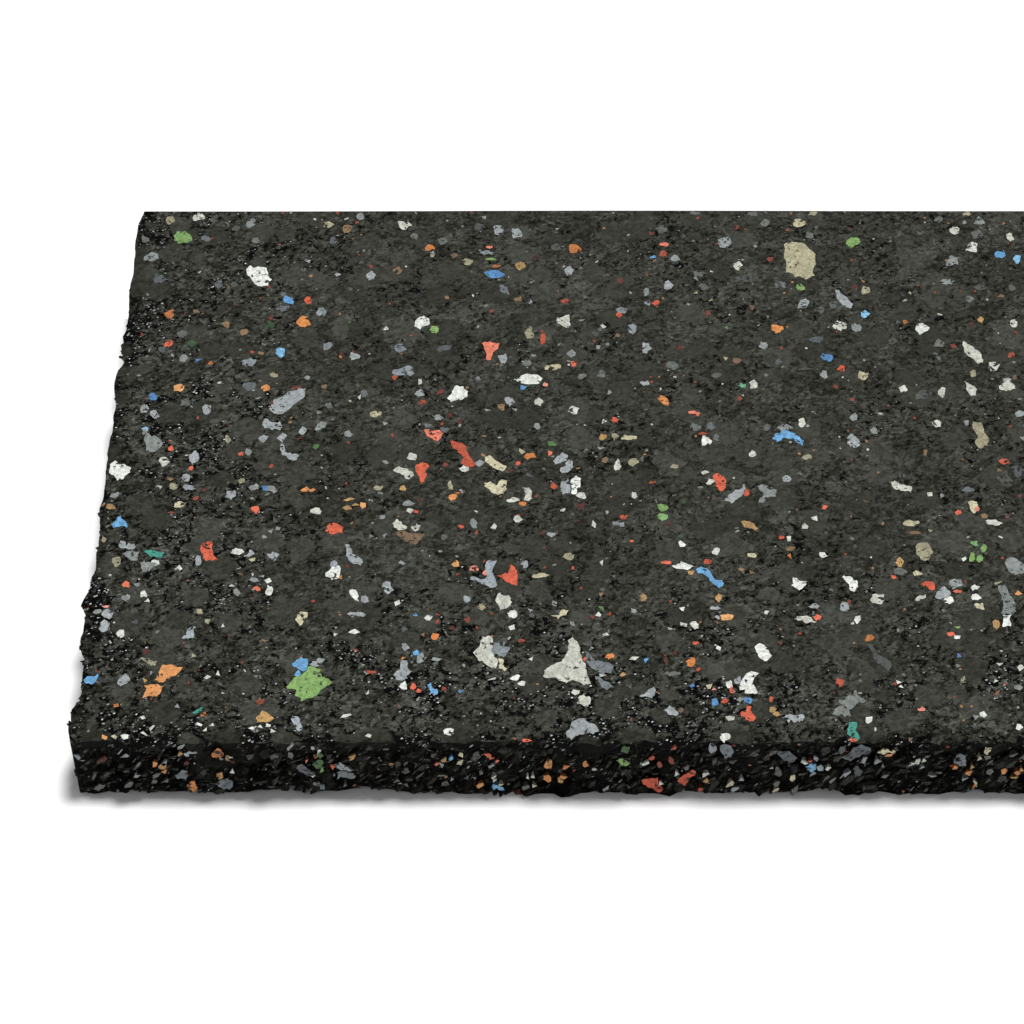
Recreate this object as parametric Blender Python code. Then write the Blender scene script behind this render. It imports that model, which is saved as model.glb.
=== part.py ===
"""Anti-vibration mat: one square slab of rubber crumb pressed and bonded into a block, then cut to size.

It lies flat, +Z up, with the origin at the centre of the face it rests on. The wide faces are flat.
The four cut sides are ragged, because the knife pulls whole crumbs out of them and leaves others proud.
"""

import bmesh
import bpy
import numpy as np

# Driving dimensions, in metres
MAT_SIDE = 0.600
THICKNESS = 0.010

# The ragged cut
CUT_MEAN = 0.0009
CUT_ROUGHNESS = 0.00022
DEEPEST_PULL = 0.0016
PULLED_SHARE = 0.05
PULL_DEPTH = 0.0006
CRUMB_PITCH = 0.004
UNDERCUT = 0.00035
CUT_LEVELS = (0.0, 0.28, 0.62, 1.0)
CORNER_CLEARANCE = 0.002
SEED = 11

# The left side's last stretch before the front corner, as (distance from the front side, depth of the cut)
LEFT_SIDE_AT_FRONT = (
    (0.0025, 0.00060),
    (0.0055, 0.00055),
    (0.0072, 0.00115),
    (0.0088, 0.00138),
    (0.0132, 0.00120),
    (0.0146, 0.00075),
    (0.0195, 0.00080),
    (0.0214, 0.00008),
    (0.0226, 0.00025),
    (0.0242, 0.00080),
    (0.0278, 0.00112),
    (0.0330, 0.00088),
    (0.0400, 0.00084),
    (0.0470, 0.00070),
    (0.0535, 0.00084),
    (0.0560, 0.00068),
    (0.0582, 0.00024),
    (0.0602, 0.00044),
    (0.0626, 0.00104),
    (0.0656, 0.00042),
    (0.0700, 0.00084),
    (0.0745, 0.00058),
    (0.0790, 0.00074),
    (0.0845, 0.00046),
    (0.0905, 0.00066),
)

RUBBER_COLOUR = (0.041, 0.042, 0.035, 1.0)
RUBBER_ROUGHNESS = 0.62


def clear_scene():
    for obj in list(bpy.data.objects):
        bpy.data.objects.remove(obj, do_unlink=True)


def rubber_material():
    material = bpy.data.materials.new("bonded_rubber_crumb")
    material.use_nodes = True
    shader = material.node_tree.nodes["Principled BSDF"]
    shader.inputs["Base Color"].default_value = RUBBER_COLOUR
    shader.inputs["Roughness"].default_value = RUBBER_ROUGHNESS
    shader.inputs["Metallic"].default_value = 0.0
    return material


def cut_stations(known):
    """Distances along one side at which its cut changes, between the corners."""
    first = known[-1][0] + CRUMB_PITCH if known else CRUMB_PITCH
    count = int((MAT_SIDE - CRUMB_PITCH - first) / CRUMB_PITCH) + 1
    free = np.linspace(first, MAT_SIDE - CRUMB_PITCH, count)
    return np.concatenate([[distance for distance, _ in known], free])


def cut_depths(stations, known, rng):
    """Depth of the ragged cut at each station and level, from nothing to DEEPEST_PULL."""
    count, levels = len(stations), len(CUT_LEVELS)
    line = CUT_MEAN + CUT_ROUGHNESS * rng.standard_normal(count)
    line += PULL_DEPTH * (rng.random(count) < PULLED_SHARE)
    line[: len(known)] = [depth for _, depth in known]
    own = 0.6 * CUT_ROUGHNESS * rng.standard_normal((levels, count))
    own[-1, : len(known)] = 0.0
    undercut = UNDERCUT * (1.0 - np.array(CUT_LEVELS))
    depths = np.clip(line + own + undercut[:, None], 0.00004, DEEPEST_PULL)
    depths.flat[depths.argmin()] = 0.0
    return depths


def outline(rng):
    """Plan points of each level, anticlockwise from the front-left corner: one row of points for each level."""
    half = MAT_SIDE / 2
    # Each side runs from its start corner in the direction along, and its cut goes in the direction inward.
    sides = (
        ((-half, -half), (1, 0), (0, 1), ()),
        ((half, -half), (0, 1), (-1, 0), ()),
        ((half, half), (-1, 0), (0, -1), ()),
        ((-half, half), (0, -1), (1, 0), LEFT_SIDE_AT_FRONT),
    )
    rows = []
    for start, along, inward, known in sides:
        stations = cut_stations(known)
        depths = cut_depths(stations, known, rng)
        if known:  # listed from the front corner, which is this side's end
            stations = MAT_SIDE - stations[::-1]
            depths = depths[:, ::-1]
        base = np.array(start) + np.outer(stations, along)
        corner = np.array(start) + CORNER_CLEARANCE / 2 * (np.array(along) + np.array(inward))
        side = base[None] + depths[:, :, None] * np.array(inward)
        corners = np.broadcast_to(corner, (len(CUT_LEVELS), 1, 2))
        rows.append(np.concatenate([corners, side], axis=1))
    return np.concatenate(rows, axis=1)


def mat_mesh():
    """The slab: a ring of points at each level, bridged into the cut sides and fanned shut on the wide faces."""
    levels = outline(np.random.RandomState(SEED))
    bm = bmesh.new()
    rings = [
        [bm.verts.new((x, y, share * THICKNESS)) for x, y in level]
        for share, level in zip(CUT_LEVELS, levels)
    ]
    bottom = bm.verts.new((0.0, 0.0, 0.0))
    top = bm.verts.new((0.0, 0.0, THICKNESS))
    count = len(rings[0])
    for k in range(count):
        following = (k + 1) % count
        for lower, upper in zip(rings, rings[1:]):
            bm.faces.new((lower[k], lower[following], upper[following], upper[k]))
        bm.faces.new((rings[0][following], rings[0][k], bottom))
        bm.faces.new((rings[-1][k], rings[-1][following], top))
    bmesh.ops.triangulate(bm, faces=[face for face in bm.faces if len(face.verts) > 3])
    mesh = bpy.data.meshes.new("mat")
    bm.to_mesh(mesh)
    bm.free()
    return mesh


def main():
    clear_scene()
    mesh = mat_mesh()
    mesh.materials.append(rubber_material())
    mat = bpy.data.objects.new("mat", mesh)
    bpy.context.scene.collection.objects.link(mat)


main()
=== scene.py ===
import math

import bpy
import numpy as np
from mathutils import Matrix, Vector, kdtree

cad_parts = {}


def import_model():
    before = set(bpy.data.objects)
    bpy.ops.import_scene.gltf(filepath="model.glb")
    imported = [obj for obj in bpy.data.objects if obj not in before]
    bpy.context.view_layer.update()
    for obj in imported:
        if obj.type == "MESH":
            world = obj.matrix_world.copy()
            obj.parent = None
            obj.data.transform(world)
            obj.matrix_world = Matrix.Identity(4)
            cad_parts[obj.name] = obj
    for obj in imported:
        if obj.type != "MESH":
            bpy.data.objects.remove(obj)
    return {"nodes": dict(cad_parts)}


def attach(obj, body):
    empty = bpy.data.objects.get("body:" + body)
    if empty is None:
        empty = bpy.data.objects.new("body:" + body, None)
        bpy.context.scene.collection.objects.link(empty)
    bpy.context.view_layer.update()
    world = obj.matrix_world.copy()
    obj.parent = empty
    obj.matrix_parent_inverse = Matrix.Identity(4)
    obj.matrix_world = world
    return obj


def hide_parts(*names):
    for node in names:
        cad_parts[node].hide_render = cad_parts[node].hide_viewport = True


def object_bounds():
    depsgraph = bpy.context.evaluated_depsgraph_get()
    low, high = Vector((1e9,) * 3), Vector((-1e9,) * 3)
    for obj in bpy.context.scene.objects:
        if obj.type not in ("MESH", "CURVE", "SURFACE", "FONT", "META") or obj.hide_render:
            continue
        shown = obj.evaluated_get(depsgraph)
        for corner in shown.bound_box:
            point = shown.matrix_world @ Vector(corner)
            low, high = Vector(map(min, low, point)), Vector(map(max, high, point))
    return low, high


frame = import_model()

# The looks of a rubber anti-vibration mat, laid flat on a pale floor and seen close up at a front corner.
# It is bonded black rubber crumb with coloured chips lying flush in every face, and four ragged cut sides.
# Lengths are in metres, except where a name says pixels (of the photograph) or mm. Colours of three numbers
# up to 255 are sRGB.

cad_low, cad_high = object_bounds()
BODY = "root"
NODE = "mat"
MM = 0.001
SIDE = cad_high.x - cad_low.x
THICKNESS = cad_high.z - cad_low.z
SEED = 5

# The camera that took the photograph
PHOTO_PIXELS = 1024
PHOTO_CENTRE = PHOTO_PIXELS / 2
FOCAL_PIXELS = 2755.4
SENSOR_MM = 36.0
CAMERA_PITCH = math.radians(47.0)
CUT_LINE = 0.9 * MM
CAMERA_ABOVE_TOP = 244.0 * MM
CAMERA_BEFORE_FRONT = 192.21 * MM
CAMERA_RIGHT_OF_LEFT = 49.765 * MM
CROP_ROW_PIXELS = 210
NEAREST_SEEN = 10 * MM
CAMERA = Vector((
    cad_low.x + CUT_LINE + CAMERA_RIGHT_OF_LEFT,
    cad_low.y + CUT_LINE - CAMERA_BEFORE_FRONT,
    cad_high.z + CAMERA_ABOVE_TOP,
))
PHOTOGRAPHED_WIDTH = 122 * MM
PHOTOGRAPHED_DEPTH = 92 * MM

# The studio, and how much brighter than its own colour it shows a level surface
LIGHT_GAIN = 1.35
LAMP_DIRECTION = (0.15, 0.10, 1.0)
LAMP_DISTANCE = 2.4
LAMP_WIDTH = 0.6
LAMP_WATTS = 62.0
LIT_FROM_LEFT = 60 * MM
LIT_FROM_FRONT = 40 * MM
SURROUND_LIGHT = 0.35
SURROUND_SEEN = 1.1
FLOOR_RADIUS = 0.9
FLOOR_CORNERS = 96
FLOOR_COLOUR = (0.9, 0.9, 0.9, 1.0)
FLOOR_ROUGHNESS = 0.9

# The skin of the mat
FINE_STEPS = 768
WALL_ROWS = 13
COARSER_AFTER_ROWS = (4, 8, 11, 14, 16)
ROWS_FOLLOWING_ARRIS = 4
CENTRE_GAP_IN_ROWS = 0.6
CORNER_INSET = 1.0 * MM
FACE_SINK = 0.10 * MM
FACE_WAVE = 0.05 * MM
NICK_DEPTH = 0.35 * MM
NICK_RARITY = 4
PRESSED, CUT = 0, 1

# The cut sides. STRAIGHTNESS says how far the cut there leaves the CAD solid's line for a straight one.
STRAIGHT_NEAR_ARRIS = 3.0 * MM
STRAIGHT_NEAR_FOOT = 2.0 * MM
STRAIGHTNESS_AT_ARRIS = 0.7
STRAIGHTNESS_AT_FOOT = 0.9
FOOT_UNDERCUT = 0.3 * MM
CRUMB_PITCH = 1.7 * MM
CRUMB_STEP = 0.12 * MM
CRUMB_TILT = 0.22
PULLED_SHARE = 0.10
PULLED_DEPTH = 0.45 * MM
GROOVE_DEPTH = 0.25 * MM
GROOVE_WIDTH = 0.5 * MM
CALM_NEAR_CORNER = 3.0 * MM
RELIEF_AT_ARRIS = 0.3
RELIEF_AT_FOOT = 0.2
SHALLOWEST_CUT = 0.02 * MM
DEEPEST_CUT = 3 * MM
KNIFE_RISE = math.radians(46)

# The black crumbs that stand out of the cuts. A shape is a range of stretch and a range of lean.
TORN_ON_SIDES = (5000, 1750, 1750, 2500)
TORN_CORNERS = (4, 5)
TORN_AREA = 0.62 * MM * MM
TORN_AREA_SPREAD = 0.7
TORN_AREA_SHARES = (0.25, 5.0)
TORN_AREA_AT_ARRIS = 0.3
TORN_REACH_TO_CORNER = 0.4
TORN_FROM_CORNER = 1.5 * MM
TORN_FROM_SEEN = 0.55
TORN_SHAPE = ((1.4, 2.8), (KNIFE_RISE - 0.4, KNIFE_RISE + 0.4))
TORN_SINK_MM = (0.0, 0.2)
TORN_RISE_MM = (0.05, 0.45)
TORN_RISE_AT_ARRIS = 0.2
TORN_RISE_AT_FOOT = 0.5
TORN_TILT = 0.3
TORN_LID = (0.5, 0.8)
TORN_ROOT = 0.5

# The outlines: how far a corner is set off, as a share of its turn, and how far out it lies
CORNER_SHIFT = 0.33
CORNER_REACH = (0.62, 1.25)
CORNERS_BELOW_SQUARE_MM = ((0.3, 3), (1.2, 4), (4, 5))
MOST_CORNERS = 7
FRAY = 0.12
FRAYED_AT = (0.3, 0.7)

# The chips read off the photograph
SEEN_CORNER_SHIFT = 0.3
SEEN_CORNER_REACH = (0.68, 1.28)
SQUARE_PIXELS_FOR_CORNER = 22
MOST_ADDED_CORNERS = 5
FILLED_SHARE = 0.56
SHARE_OF_READ_SIZE = {"red": 0.75}
FRAYED_FROM_SQUARE_PIXELS = 60
SMEARED_FROM_SQUARE_PIXELS = 150
SHARP_ROW_PIXELS = 560
SIZE_AT_CROP = 0.76
FAINTER_AT_CROP = 0.25
TONES_ON_FACE = (-0.3, 0.1)
TONES_ON_CUT = (-0.1, 0.1)
LEAN_IN_CUT = 25.0
SEEN_RISE = (0.6, 1.5)
SEEN_ROOT = 0.5
PROUD_OF_CUT = 0.22 * MM
ROOTED_IN_CUT = 1.3 * MM
INSIDE_LEFT = 0.25 * MM

# The chips spread at random
CHIPS_PER_SQUARE_MM = 0.066
CHIPS_PER_SQUARE_MM_CUT = 0.05
MEDIAN_AREA = 0.8 * MM * MM
AREA_SPREAD = 1.1
SMALLEST_AREA = 0.15 * MM * MM
LARGEST_AREA = 16 * MM * MM
LARGEST_AREA_IN_CUT = 6 * MM * MM
LARGEST_UNSEEN_AREA = 0.45 * MM * MM
FULL_TONE_AREA = 1.2 * MM * MM
LEAST_TONE = 0.35
CLUSTERED_SHARE = 0.22
CLUSTER_GAP = 0.55
FROM_SEEN = 0.6
FROM_SIDE = 3.0 * MM
PROUD_OF_FACE = 0.03 * MM
CHIP_RISE = (0.5, 1.3)
CHIP_TILT = 0.03
CHIP_ROOT = 0.6
CHIP_ROOT_SPREAD = (0.7, 1.2)
CUT_CHIP_HEIGHT = (0.06, 0.95)
CUT_CHIP_SINK_MM = (-0.1, 0.1)
CUT_CHIP_RISE = 0.12 * MM
CUT_CHIP_SHAPE = ((1.2, 2.3), (KNIFE_RISE - 0.6, KNIFE_RISE + 0.2))

# How much of a chip's face lies under black rubber, and the tone of its rim: the sides of every chip and
# crumb get this share of their tone as painted shade
SMEAR_ON_FACE = 0.25
SMEAR_ON_SHAPED = 0.17
SMEAR_ON_CUT = 0.30
SMEAR_COLOUR = (30, 30, 26)
SHADED_RIM_TONE = 0.3

# The rubber. Its light flecks stand out less than its dark ones, by the share PALE_FLECKS.
PRESSED_COLOUR = (61, 62, 55)
# The cut sides' colour is darker than the pressed faces': partly their more open crumb, partly painted shade
# for sides turned from the lamp
CUT_COLOUR_AND_SHADE = (28, 28, 23)
# Pits are painted near black: painted shade in their hollows
PIT_SHADE_COLOUR = (2, 2, 2)
# Painted glints: near-white spots in the rubber's colour that stand for highlights
PAINTED_GLINT_COLOUR = (232, 236, 234)
LUMP_COLOUR = (48, 48, 42)
PALE_FLECKS = 0.6
LUMP_SPREAD = 3.2
LUMP_GRAIN = 5.0
RUBBER_GLOSS = 0.04
LUMP_GLOSS = 0.12
CHIP_GLOSS = 0.25

# The rubber's rubbing and painted glints towards its sides: where they start and are full, in mm inside, and
# what they change
WEAR_AND_GLINTS_START_MM, WEAR_AND_GLINTS_FULL_MM = 32.0, 4.0
ARRIS_STARTS_MM, ARRIS_FULL_MM = 3.5, 1.2
CONTRAST_INSIDE = 0.8
GLINTS_INSIDE = 0.04
GLINTS_AT_SIDE = 0.30
OPENER_AT_SIDE = 0.062
OPENER_AT_ARRIS = 0.06
DARKER_AT_ARRIS = 0.35

# The rubber's patterns. Their cells are counted per mm, and a reach is how far a spot fills its cell.
KNIFE_TURN = (0.0, math.radians(-45), math.radians(25))
CRUMBS_PER_MM = 0.27
SPECKS_PER_MM = 0.95
FRAGMENTS_PER_MM = 1.5
# The rubber's facets are its painted glints
FACETS_PER_MM = 2.2
CHIP_FACETS_PER_MM = 1.9
FLAT_REACH = (0.26, 0.62)
SPECK_REACH = (0.10, 0.28)
FACET_REACH = 0.36
FACET_DRAG = 1.7
OPEN_SHARES = (0.34, 0.43)
CLUSTER_SHARES = (0.3, 1.7)
CONTRAST_IN_FLAT = 0.45
BLUER_WHERE_LIGHTER = 1.1

# Colours of the specks that are too small to be modelled, and the share of cells that hold none
SPECK_COLOURS = (
    (100, 104, 98), (86, 90, 84), (118, 122, 116), (132, 134, 126), (156, 158, 150), (200, 202, 194),
    (168, 126, 92), (170, 82, 62),
)
SPECKLESS_SHARE = 0.80

# Share of the chips and the sRGB colours that each kind of chip runs through
KINDS = {
    "white": (0.10, ((202, 202, 188), (221, 225, 214), (246, 250, 242))),
    "cream": (0.07, ((156, 152, 124), (196, 190, 156), (232, 224, 190))),
    "light_grey": (0.22, ((142, 148, 145), (166, 172, 174), (190, 197, 201))),
    "mid_grey": (0.22, ((80, 84, 79), (112, 117, 112), (140, 146, 141))),
    "slate": (0.12, ((74, 80, 82), (108, 115, 118), (142, 150, 155), (180, 191, 198))),
    "tan": (0.08, ((106, 88, 74), (158, 127, 88), (216, 172, 106))),
    "orange": (0.05, ((150, 93, 54), (220, 136, 70), (241, 180, 118))),
    "red": (0.045, ((92, 44, 36), (162, 81, 58), (220, 98, 68), (238, 124, 94), (240, 168, 150))),
    "green": (0.03, ((52, 82, 52), (108, 146, 88), (146, 186, 108), (72, 158, 140))),
    "blue": (0.03, ((78, 120, 178), (102, 165, 217), (134, 196, 236), (168, 202, 224))),
}

# The chips that the photograph shows, read off it. A key is a kind and how far along its colours they
# lie. Each chip is its centre, width and height in pixels, and for some the degrees it rises to the right.
SEEN_ON_TOP = {
    ("white", 0.85): (
        (334, 572, 16, 16), (404, 685, 9, 9), (684, 566, 21, 8, -5), (682, 544, 8, 7), (716, 551, 9, 8),
        (823, 555, 8, 8), (682, 608, 5, 5), (695, 625, 11, 9), (718, 648, 5, 6), (767, 612, 6, 4),
        (599, 614, 5, 6), (606, 634, 6, 4), (729, 684, 9, 8), (752, 690, 14, 11), (725, 737, 13, 10),
        (155, 562, 9, 8), (238, 551, 13, 9), (144, 594, 8, 8), (147, 600, 5, 4), (121, 633, 10, 9),
        (180, 567, 5, 6), (222, 625, 4, 3), (268, 580, 7, 6), (269, 590, 9, 11), (207, 676, 7, 4),
        (217, 672, 5, 4), (125, 736, 8, 7), (199, 724, 7, 4), (212, 724, 5, 3), (205, 729, 5, 3),
        (252, 728, 6, 4), (261, 726, 5, 3), (268, 725, 6, 4), (513, 614, 12, 9), (428, 617, 9, 6),
        (512, 627, 7, 6), (531, 658, 4, 4), (516, 677, 11, 6), (522, 683, 8, 6), (448, 731, 13, 8),
        (354, 594, 17, 8, -60), (397, 602, 7, 6), (354, 631, 10, 6), (335, 634, 4, 3), (346, 715, 11, 4, 20),
        (949, 599, 11, 9), (964, 558, 5, 5), (975, 587, 9, 7), (976, 597, 11, 8), (858, 619, 8, 9),
        (898, 682, 6, 3), (901, 687, 4, 3), (957, 637, 9, 4), (1020, 667, 8, 6), (983, 714, 8, 7),
        (869, 720, 9, 7), (1019, 727, 8, 7), (422, 322, 21, 17), (528, 379, 29, 17), (972, 247, 16, 15),
        (923, 328, 17, 15), (706, 441, 14, 11),
    ),
    ("white", 0.35): (
        (789, 539, 6, 6), (594, 524, 5, 8), (517, 519, 12, 7), (494, 526, 7, 6), (416, 527, 11, 8),
        (574, 410, 12, 11), (617, 465, 8, 13), (711, 481, 9, 7), (704, 472, 8, 5), (635, 495, 8, 7),
        (903, 388, 10, 10), (815, 518, 7, 6), (805, 526, 8, 6), (955, 230, 15, 12), (840, 325, 18, 14),
        (993, 366, 16, 12), (164, 460, 12, 12), (1007, 386, 17, 16),
        (143, 717, 6, 4), (151, 728, 9, 3, 50), (144, 733, 8, 3, -40), (273, 730, 5, 4), (491, 678, 6, 3),
        (575, 692, 10, 6), (368, 735, 7, 4), (730, 718, 10, 6), (1000, 664, 6, 3), (995, 681, 5, 3),
        (581, 495, 11, 7), (410, 510, 8, 6), (413, 456, 14, 8), (539, 402, 12, 10), (752, 453, 9, 8),
        (802, 421, 9, 13), (754, 384, 11, 11), (942, 391, 10, 13), (937, 423, 13, 8), (994, 522, 18, 7, -10),
        (930, 493, 6, 6), (316, 510, 13, 8), (464, 469, 11, 8), (738, 265, 13, 13), (1010, 237, 12, 12),
        (1014, 323, 11, 10), (564, 320, 22, 14), (405, 224, 19, 14), (200, 216, 17, 13), (513, 499, 14, 6),
    ),
    ("light_grey", 0.6): (
        (365, 599, 9, 9), (387, 587, 11, 17, 20), (355, 613, 19, 8), (405, 646, 9, 8), (421, 658, 10, 11),
        (317, 662, 18, 7, 25), (715, 608, 11, 5), (718, 617, 6, 5), (738, 680, 8, 9), (122, 544, 10, 8),
        (131, 546, 10, 8), (198, 560, 8, 11), (250, 552, 8, 8), (273, 556, 13, 10), (108, 614, 13, 11),
        (105, 626, 13, 14), (525, 564, 8, 9), (467, 598, 9, 7), (814, 606, 12, 6), (845, 607, 13, 10),
        (144, 408, 12, 10), (154, 414, 12, 10), (207, 409, 13, 12), (263, 438, 11, 9), (282, 437, 11, 10),
        (303, 430, 10, 9), (194, 457, 13, 16), (185, 477, 11, 9), (231, 494, 14, 10), (420, 393, 11, 9),
        (510, 401, 12, 12), (480, 463, 10, 8), (551, 534, 11, 5), (787, 478, 10, 9), (854, 417, 9, 10),
        (645, 383, 12, 7), (1019, 413, 12, 8), (371, 276, 12, 13), (355, 356, 13, 10), (499, 229, 15, 15),
        (517, 233, 15, 15), (569, 270, 14, 13), (503, 358, 14, 11), (646, 347, 13, 14), (725, 242, 20, 17),
        (668, 285, 13, 13), (804, 303, 12, 17, -50), (1007, 379, 10, 6),
    ),
    ("light_grey", 0.15): (
        (132, 555, 19, 11), (147, 565, 18, 12), (137, 584, 7, 4), (126, 597, 10, 8), (97, 611, 9, 6),
        (254, 579, 9, 6), (236, 592, 9, 7), (956, 583, 17, 11), (1018, 687, 10, 6), (740, 699, 7, 5),
        (321, 425, 17, 8, 35), (348, 433, 11, 8), (249, 451, 9, 8), (254, 487, 12, 8), (272, 488, 11, 10),
        (271, 531, 5, 4), (278, 528, 6, 4), (264, 536, 6, 4), (115, 494, 13, 5, 10), (438, 417, 10, 9),
        (408, 503, 15, 6), (382, 516, 6, 6), (474, 523, 10, 10), (537, 426, 8, 8), (785, 426, 18, 9),
        (874, 430, 9, 9), (942, 495, 5, 5), (967, 422, 7, 7), (251, 223, 14, 14), (151, 257, 20, 13),
        (183, 359, 12, 10), (360, 216, 13, 10), (572, 353, 12, 10), (646, 291, 10, 11), (947, 281, 18, 10),
        (952, 261, 20, 14), (978, 221, 18, 11), (857, 327, 12, 14), (824, 374, 11, 10), (763, 345, 12, 10),
        (675, 258, 12, 9),
    ),
    ("mid_grey", 0.6): (
        (444, 537, 8, 6), (371, 535, 5, 4), (767, 427, 10, 8), (696, 427, 15, 11), (185, 402, 13, 10),
        (329, 405, 10, 8), (662, 229, 18, 12), (781, 284, 16, 10), (765, 223, 13, 11), (809, 235, 12, 10),
        (833, 304, 11, 11), (672, 365, 17, 11), (699, 273, 18, 10), (939, 219, 12, 10), (939, 343, 14, 11),
        (970, 298, 11, 9), (977, 234, 18, 13), (753, 214, 14, 8), (695, 213, 14, 6), (182, 333, 13, 10),
        (527, 363, 10, 10), (601, 374, 12, 10), (582, 376, 10, 8), (716, 437, 7, 9), (672, 673, 16, 6),
        (900, 571, 18, 7), (415, 236, 12, 9), (443, 241, 15, 10), (145, 239, 12, 10), (256, 240, 13, 11),
    ),
    ("mid_grey", 0.1): (
        (214, 220, 11, 9), (479, 227, 15, 10), (555, 247, 14, 11), (595, 333, 10, 8), (820, 309, 11, 10),
        (704, 286, 14, 9), (745, 277, 26, 11), (1012, 287, 10, 9), (981, 287, 20, 7), (716, 375, 13, 8),
        (1004, 479, 20, 10), (922, 394, 22, 11), (234, 284, 11, 8), (236, 228, 10, 9), (560, 612, 12, 5),
    ),
    ("slate", 0.8): (
        (334, 563, 10, 7), (297, 722, 11, 17, 30), (178, 705, 5, 4), (189, 487, 14, 7), (327, 346, 14, 9),
        (632, 329, 13, 14), (622, 310, 15, 9), (487, 252, 19, 8), (322, 311, 14, 13), (616, 523, 8, 6),
        (400, 348, 16, 11), (405, 371, 30, 12), (504, 290, 18, 10, -35), (623, 524, 7, 5), (249, 362, 19, 11),
    ),
    ("slate", 0.35): (
        (160, 278, 18, 13), (162, 349, 9, 9), (283, 308, 18, 8), (283, 294, 9, 7), (333, 240, 13, 10),
        (250, 386, 18, 12), (444, 348, 18, 9, 15), (817, 339, 24, 7), (779, 361, 9, 8), (711, 426, 12, 9),
        (1018, 470, 11, 15), (968, 489, 13, 7), (444, 429, 11, 8), (365, 393, 10, 9), (205, 238, 13, 10),
        (218, 284, 12, 10), (428, 425, 8, 6),
    ),
    ("cream", 0.75): (
        (301, 617, 13, 15), (709, 686, 6, 6), (540, 575, 17, 6), (752, 555, 10, 6), (980, 606, 11, 8),
        (114, 736, 7, 4), (554, 367, 21, 9, 10), (863, 375, 16, 11), (376, 414, 14, 9), (179, 504, 12, 8),
        (912, 522, 19, 7), (799, 223, 18, 13), (629, 437, 18, 7), (252, 559, 6, 5), (918, 573, 12, 5),
    ),
    ("cream", 0.2): (
        (117, 561, 12, 10), (199, 611, 8, 6), (208, 621, 6, 6), (569, 556, 13, 8), (482, 607, 8, 8),
        (193, 655, 5, 4), (170, 219, 15, 12), (329, 224, 16, 10), (273, 375, 10, 8), (467, 261, 14, 10),
        (529, 333, 12, 17), (973, 373, 8, 10), (967, 213, 14, 6), (813, 213, 13, 6), (379, 487, 12, 6),
        (522, 451, 7, 6), (632, 462, 12, 10), (807, 457, 12, 7), (675, 466, 9, 6), (615, 436, 9, 8),
        (173, 486, 10, 8), (241, 480, 8, 7), (228, 439, 8, 9), (104, 539, 6, 6), (450, 485, 7, 10),
        (866, 289, 13, 11),
    ),
    ("tan", 0.85): (
        (644, 598, 7, 10), (718, 597, 7, 10), (691, 572, 10, 4), (623, 674, 6, 5), (900, 561, 9, 11),
        (773, 709, 9, 6), (776, 714, 8, 6), (145, 679, 4, 5), (520, 266, 16, 12), (603, 436, 10, 8),
        (749, 524, 18, 8, -20), (347, 228, 14, 12), (110, 506, 11, 7), (348, 499, 10, 4), (347, 507, 12, 5),
        (355, 504, 7, 3), (981, 319, 7, 10), (403, 488, 8, 7), (997, 624, 9, 10),
    ),
    ("tan", 0.35): (
        (741, 569, 6, 5), (791, 548, 9, 6), (909, 739, 6, 3), (264, 640, 7, 3), (514, 738, 5, 3),
        (226, 324, 11, 9), (244, 332, 13, 8), (261, 353, 7, 5), (196, 311, 9, 6), (454, 255, 10, 7),
        (501, 407, 9, 9), (605, 459, 8, 7), (738, 360, 12, 7), (925, 452, 5, 8), (985, 515, 8, 6),
        (324, 386, 8, 6), (171, 479, 7, 4), (1015, 377, 7, 6), (915, 532, 13, 4), (999, 469, 5, 4),
        (518, 299, 10, 8), (398, 270, 12, 10),
    ),
    ("orange", 0.5): (
        (340, 576, 4, 4), (403, 658, 4, 3), (691, 662, 12, 9), (610, 656, 11, 6),
        (435, 635, 9, 8), (790, 556, 4, 5), (869, 638, 10, 7), (170, 314, 14, 13), (575, 248, 20, 12),
        (530, 455, 13, 9), (523, 503, 10, 5), (430, 247, 12, 10), (496, 266, 13, 4), (116, 705, 6, 5),
    ),
    ("orange", 0.95): (
        (456, 563, 9, 7), (1019, 593, 7, 5), (104, 737, 7, 5), (304, 322, 18, 16), (179, 387, 12, 12),
        (266, 388, 13, 8), (307, 489, 18, 6), (453, 497, 11, 7), (363, 505, 8, 7), (664, 399, 17, 9, -40),
        (776, 328, 17, 12), (727, 617, 15, 8),
    ),
    ("red", 0.6): (
        (371, 672, 13, 7), (413, 686, 8, 11), (419, 690, 8, 6), (667, 562, 15, 6), (708, 561, 13, 7),
        (696, 643, 10, 5), (698, 669, 8, 6), (732, 690, 7, 12), (725, 701, 11, 7), (573, 568, 6, 5),
        (585, 658, 5, 6), (632, 541, 6, 4), (818, 617, 13, 9), (894, 577, 8, 6), (958, 591, 12, 6),
        (951, 634, 13, 6), (840, 682, 14, 11), (772, 699, 7, 8), (853, 740, 12, 6), (255, 509, 15, 12),
        (526, 740, 13, 5),
        (171, 448, 9, 8), (191, 467, 9, 7), (241, 453, 9, 7), (554, 486, 10, 11), (461, 526, 8, 6),
        (416, 511, 7, 6), (615, 419, 11, 9), (747, 493, 9, 11), (624, 516, 12, 8), (825, 507, 8, 7),
        (782, 537, 8, 6), (958, 512, 11, 8), (1005, 461, 18, 9, -10), (308, 300, 14, 13), (169, 343, 15, 13),
        (566, 301, 18, 10), (619, 315, 13, 10), (543, 339, 14, 18), (574, 363, 10, 11), (663, 254, 16, 12),
        (656, 303, 12, 12), (841, 368, 13, 10), (1011, 354, 11, 10), (395, 377, 10, 7), (518, 463, 8, 7),
    ),
    ("red", 1.0): (
        (126, 584, 13, 9), (474, 568, 15, 9), (922, 709, 13, 6), (714, 689, 5, 4), (977, 508, 7, 8),
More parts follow.
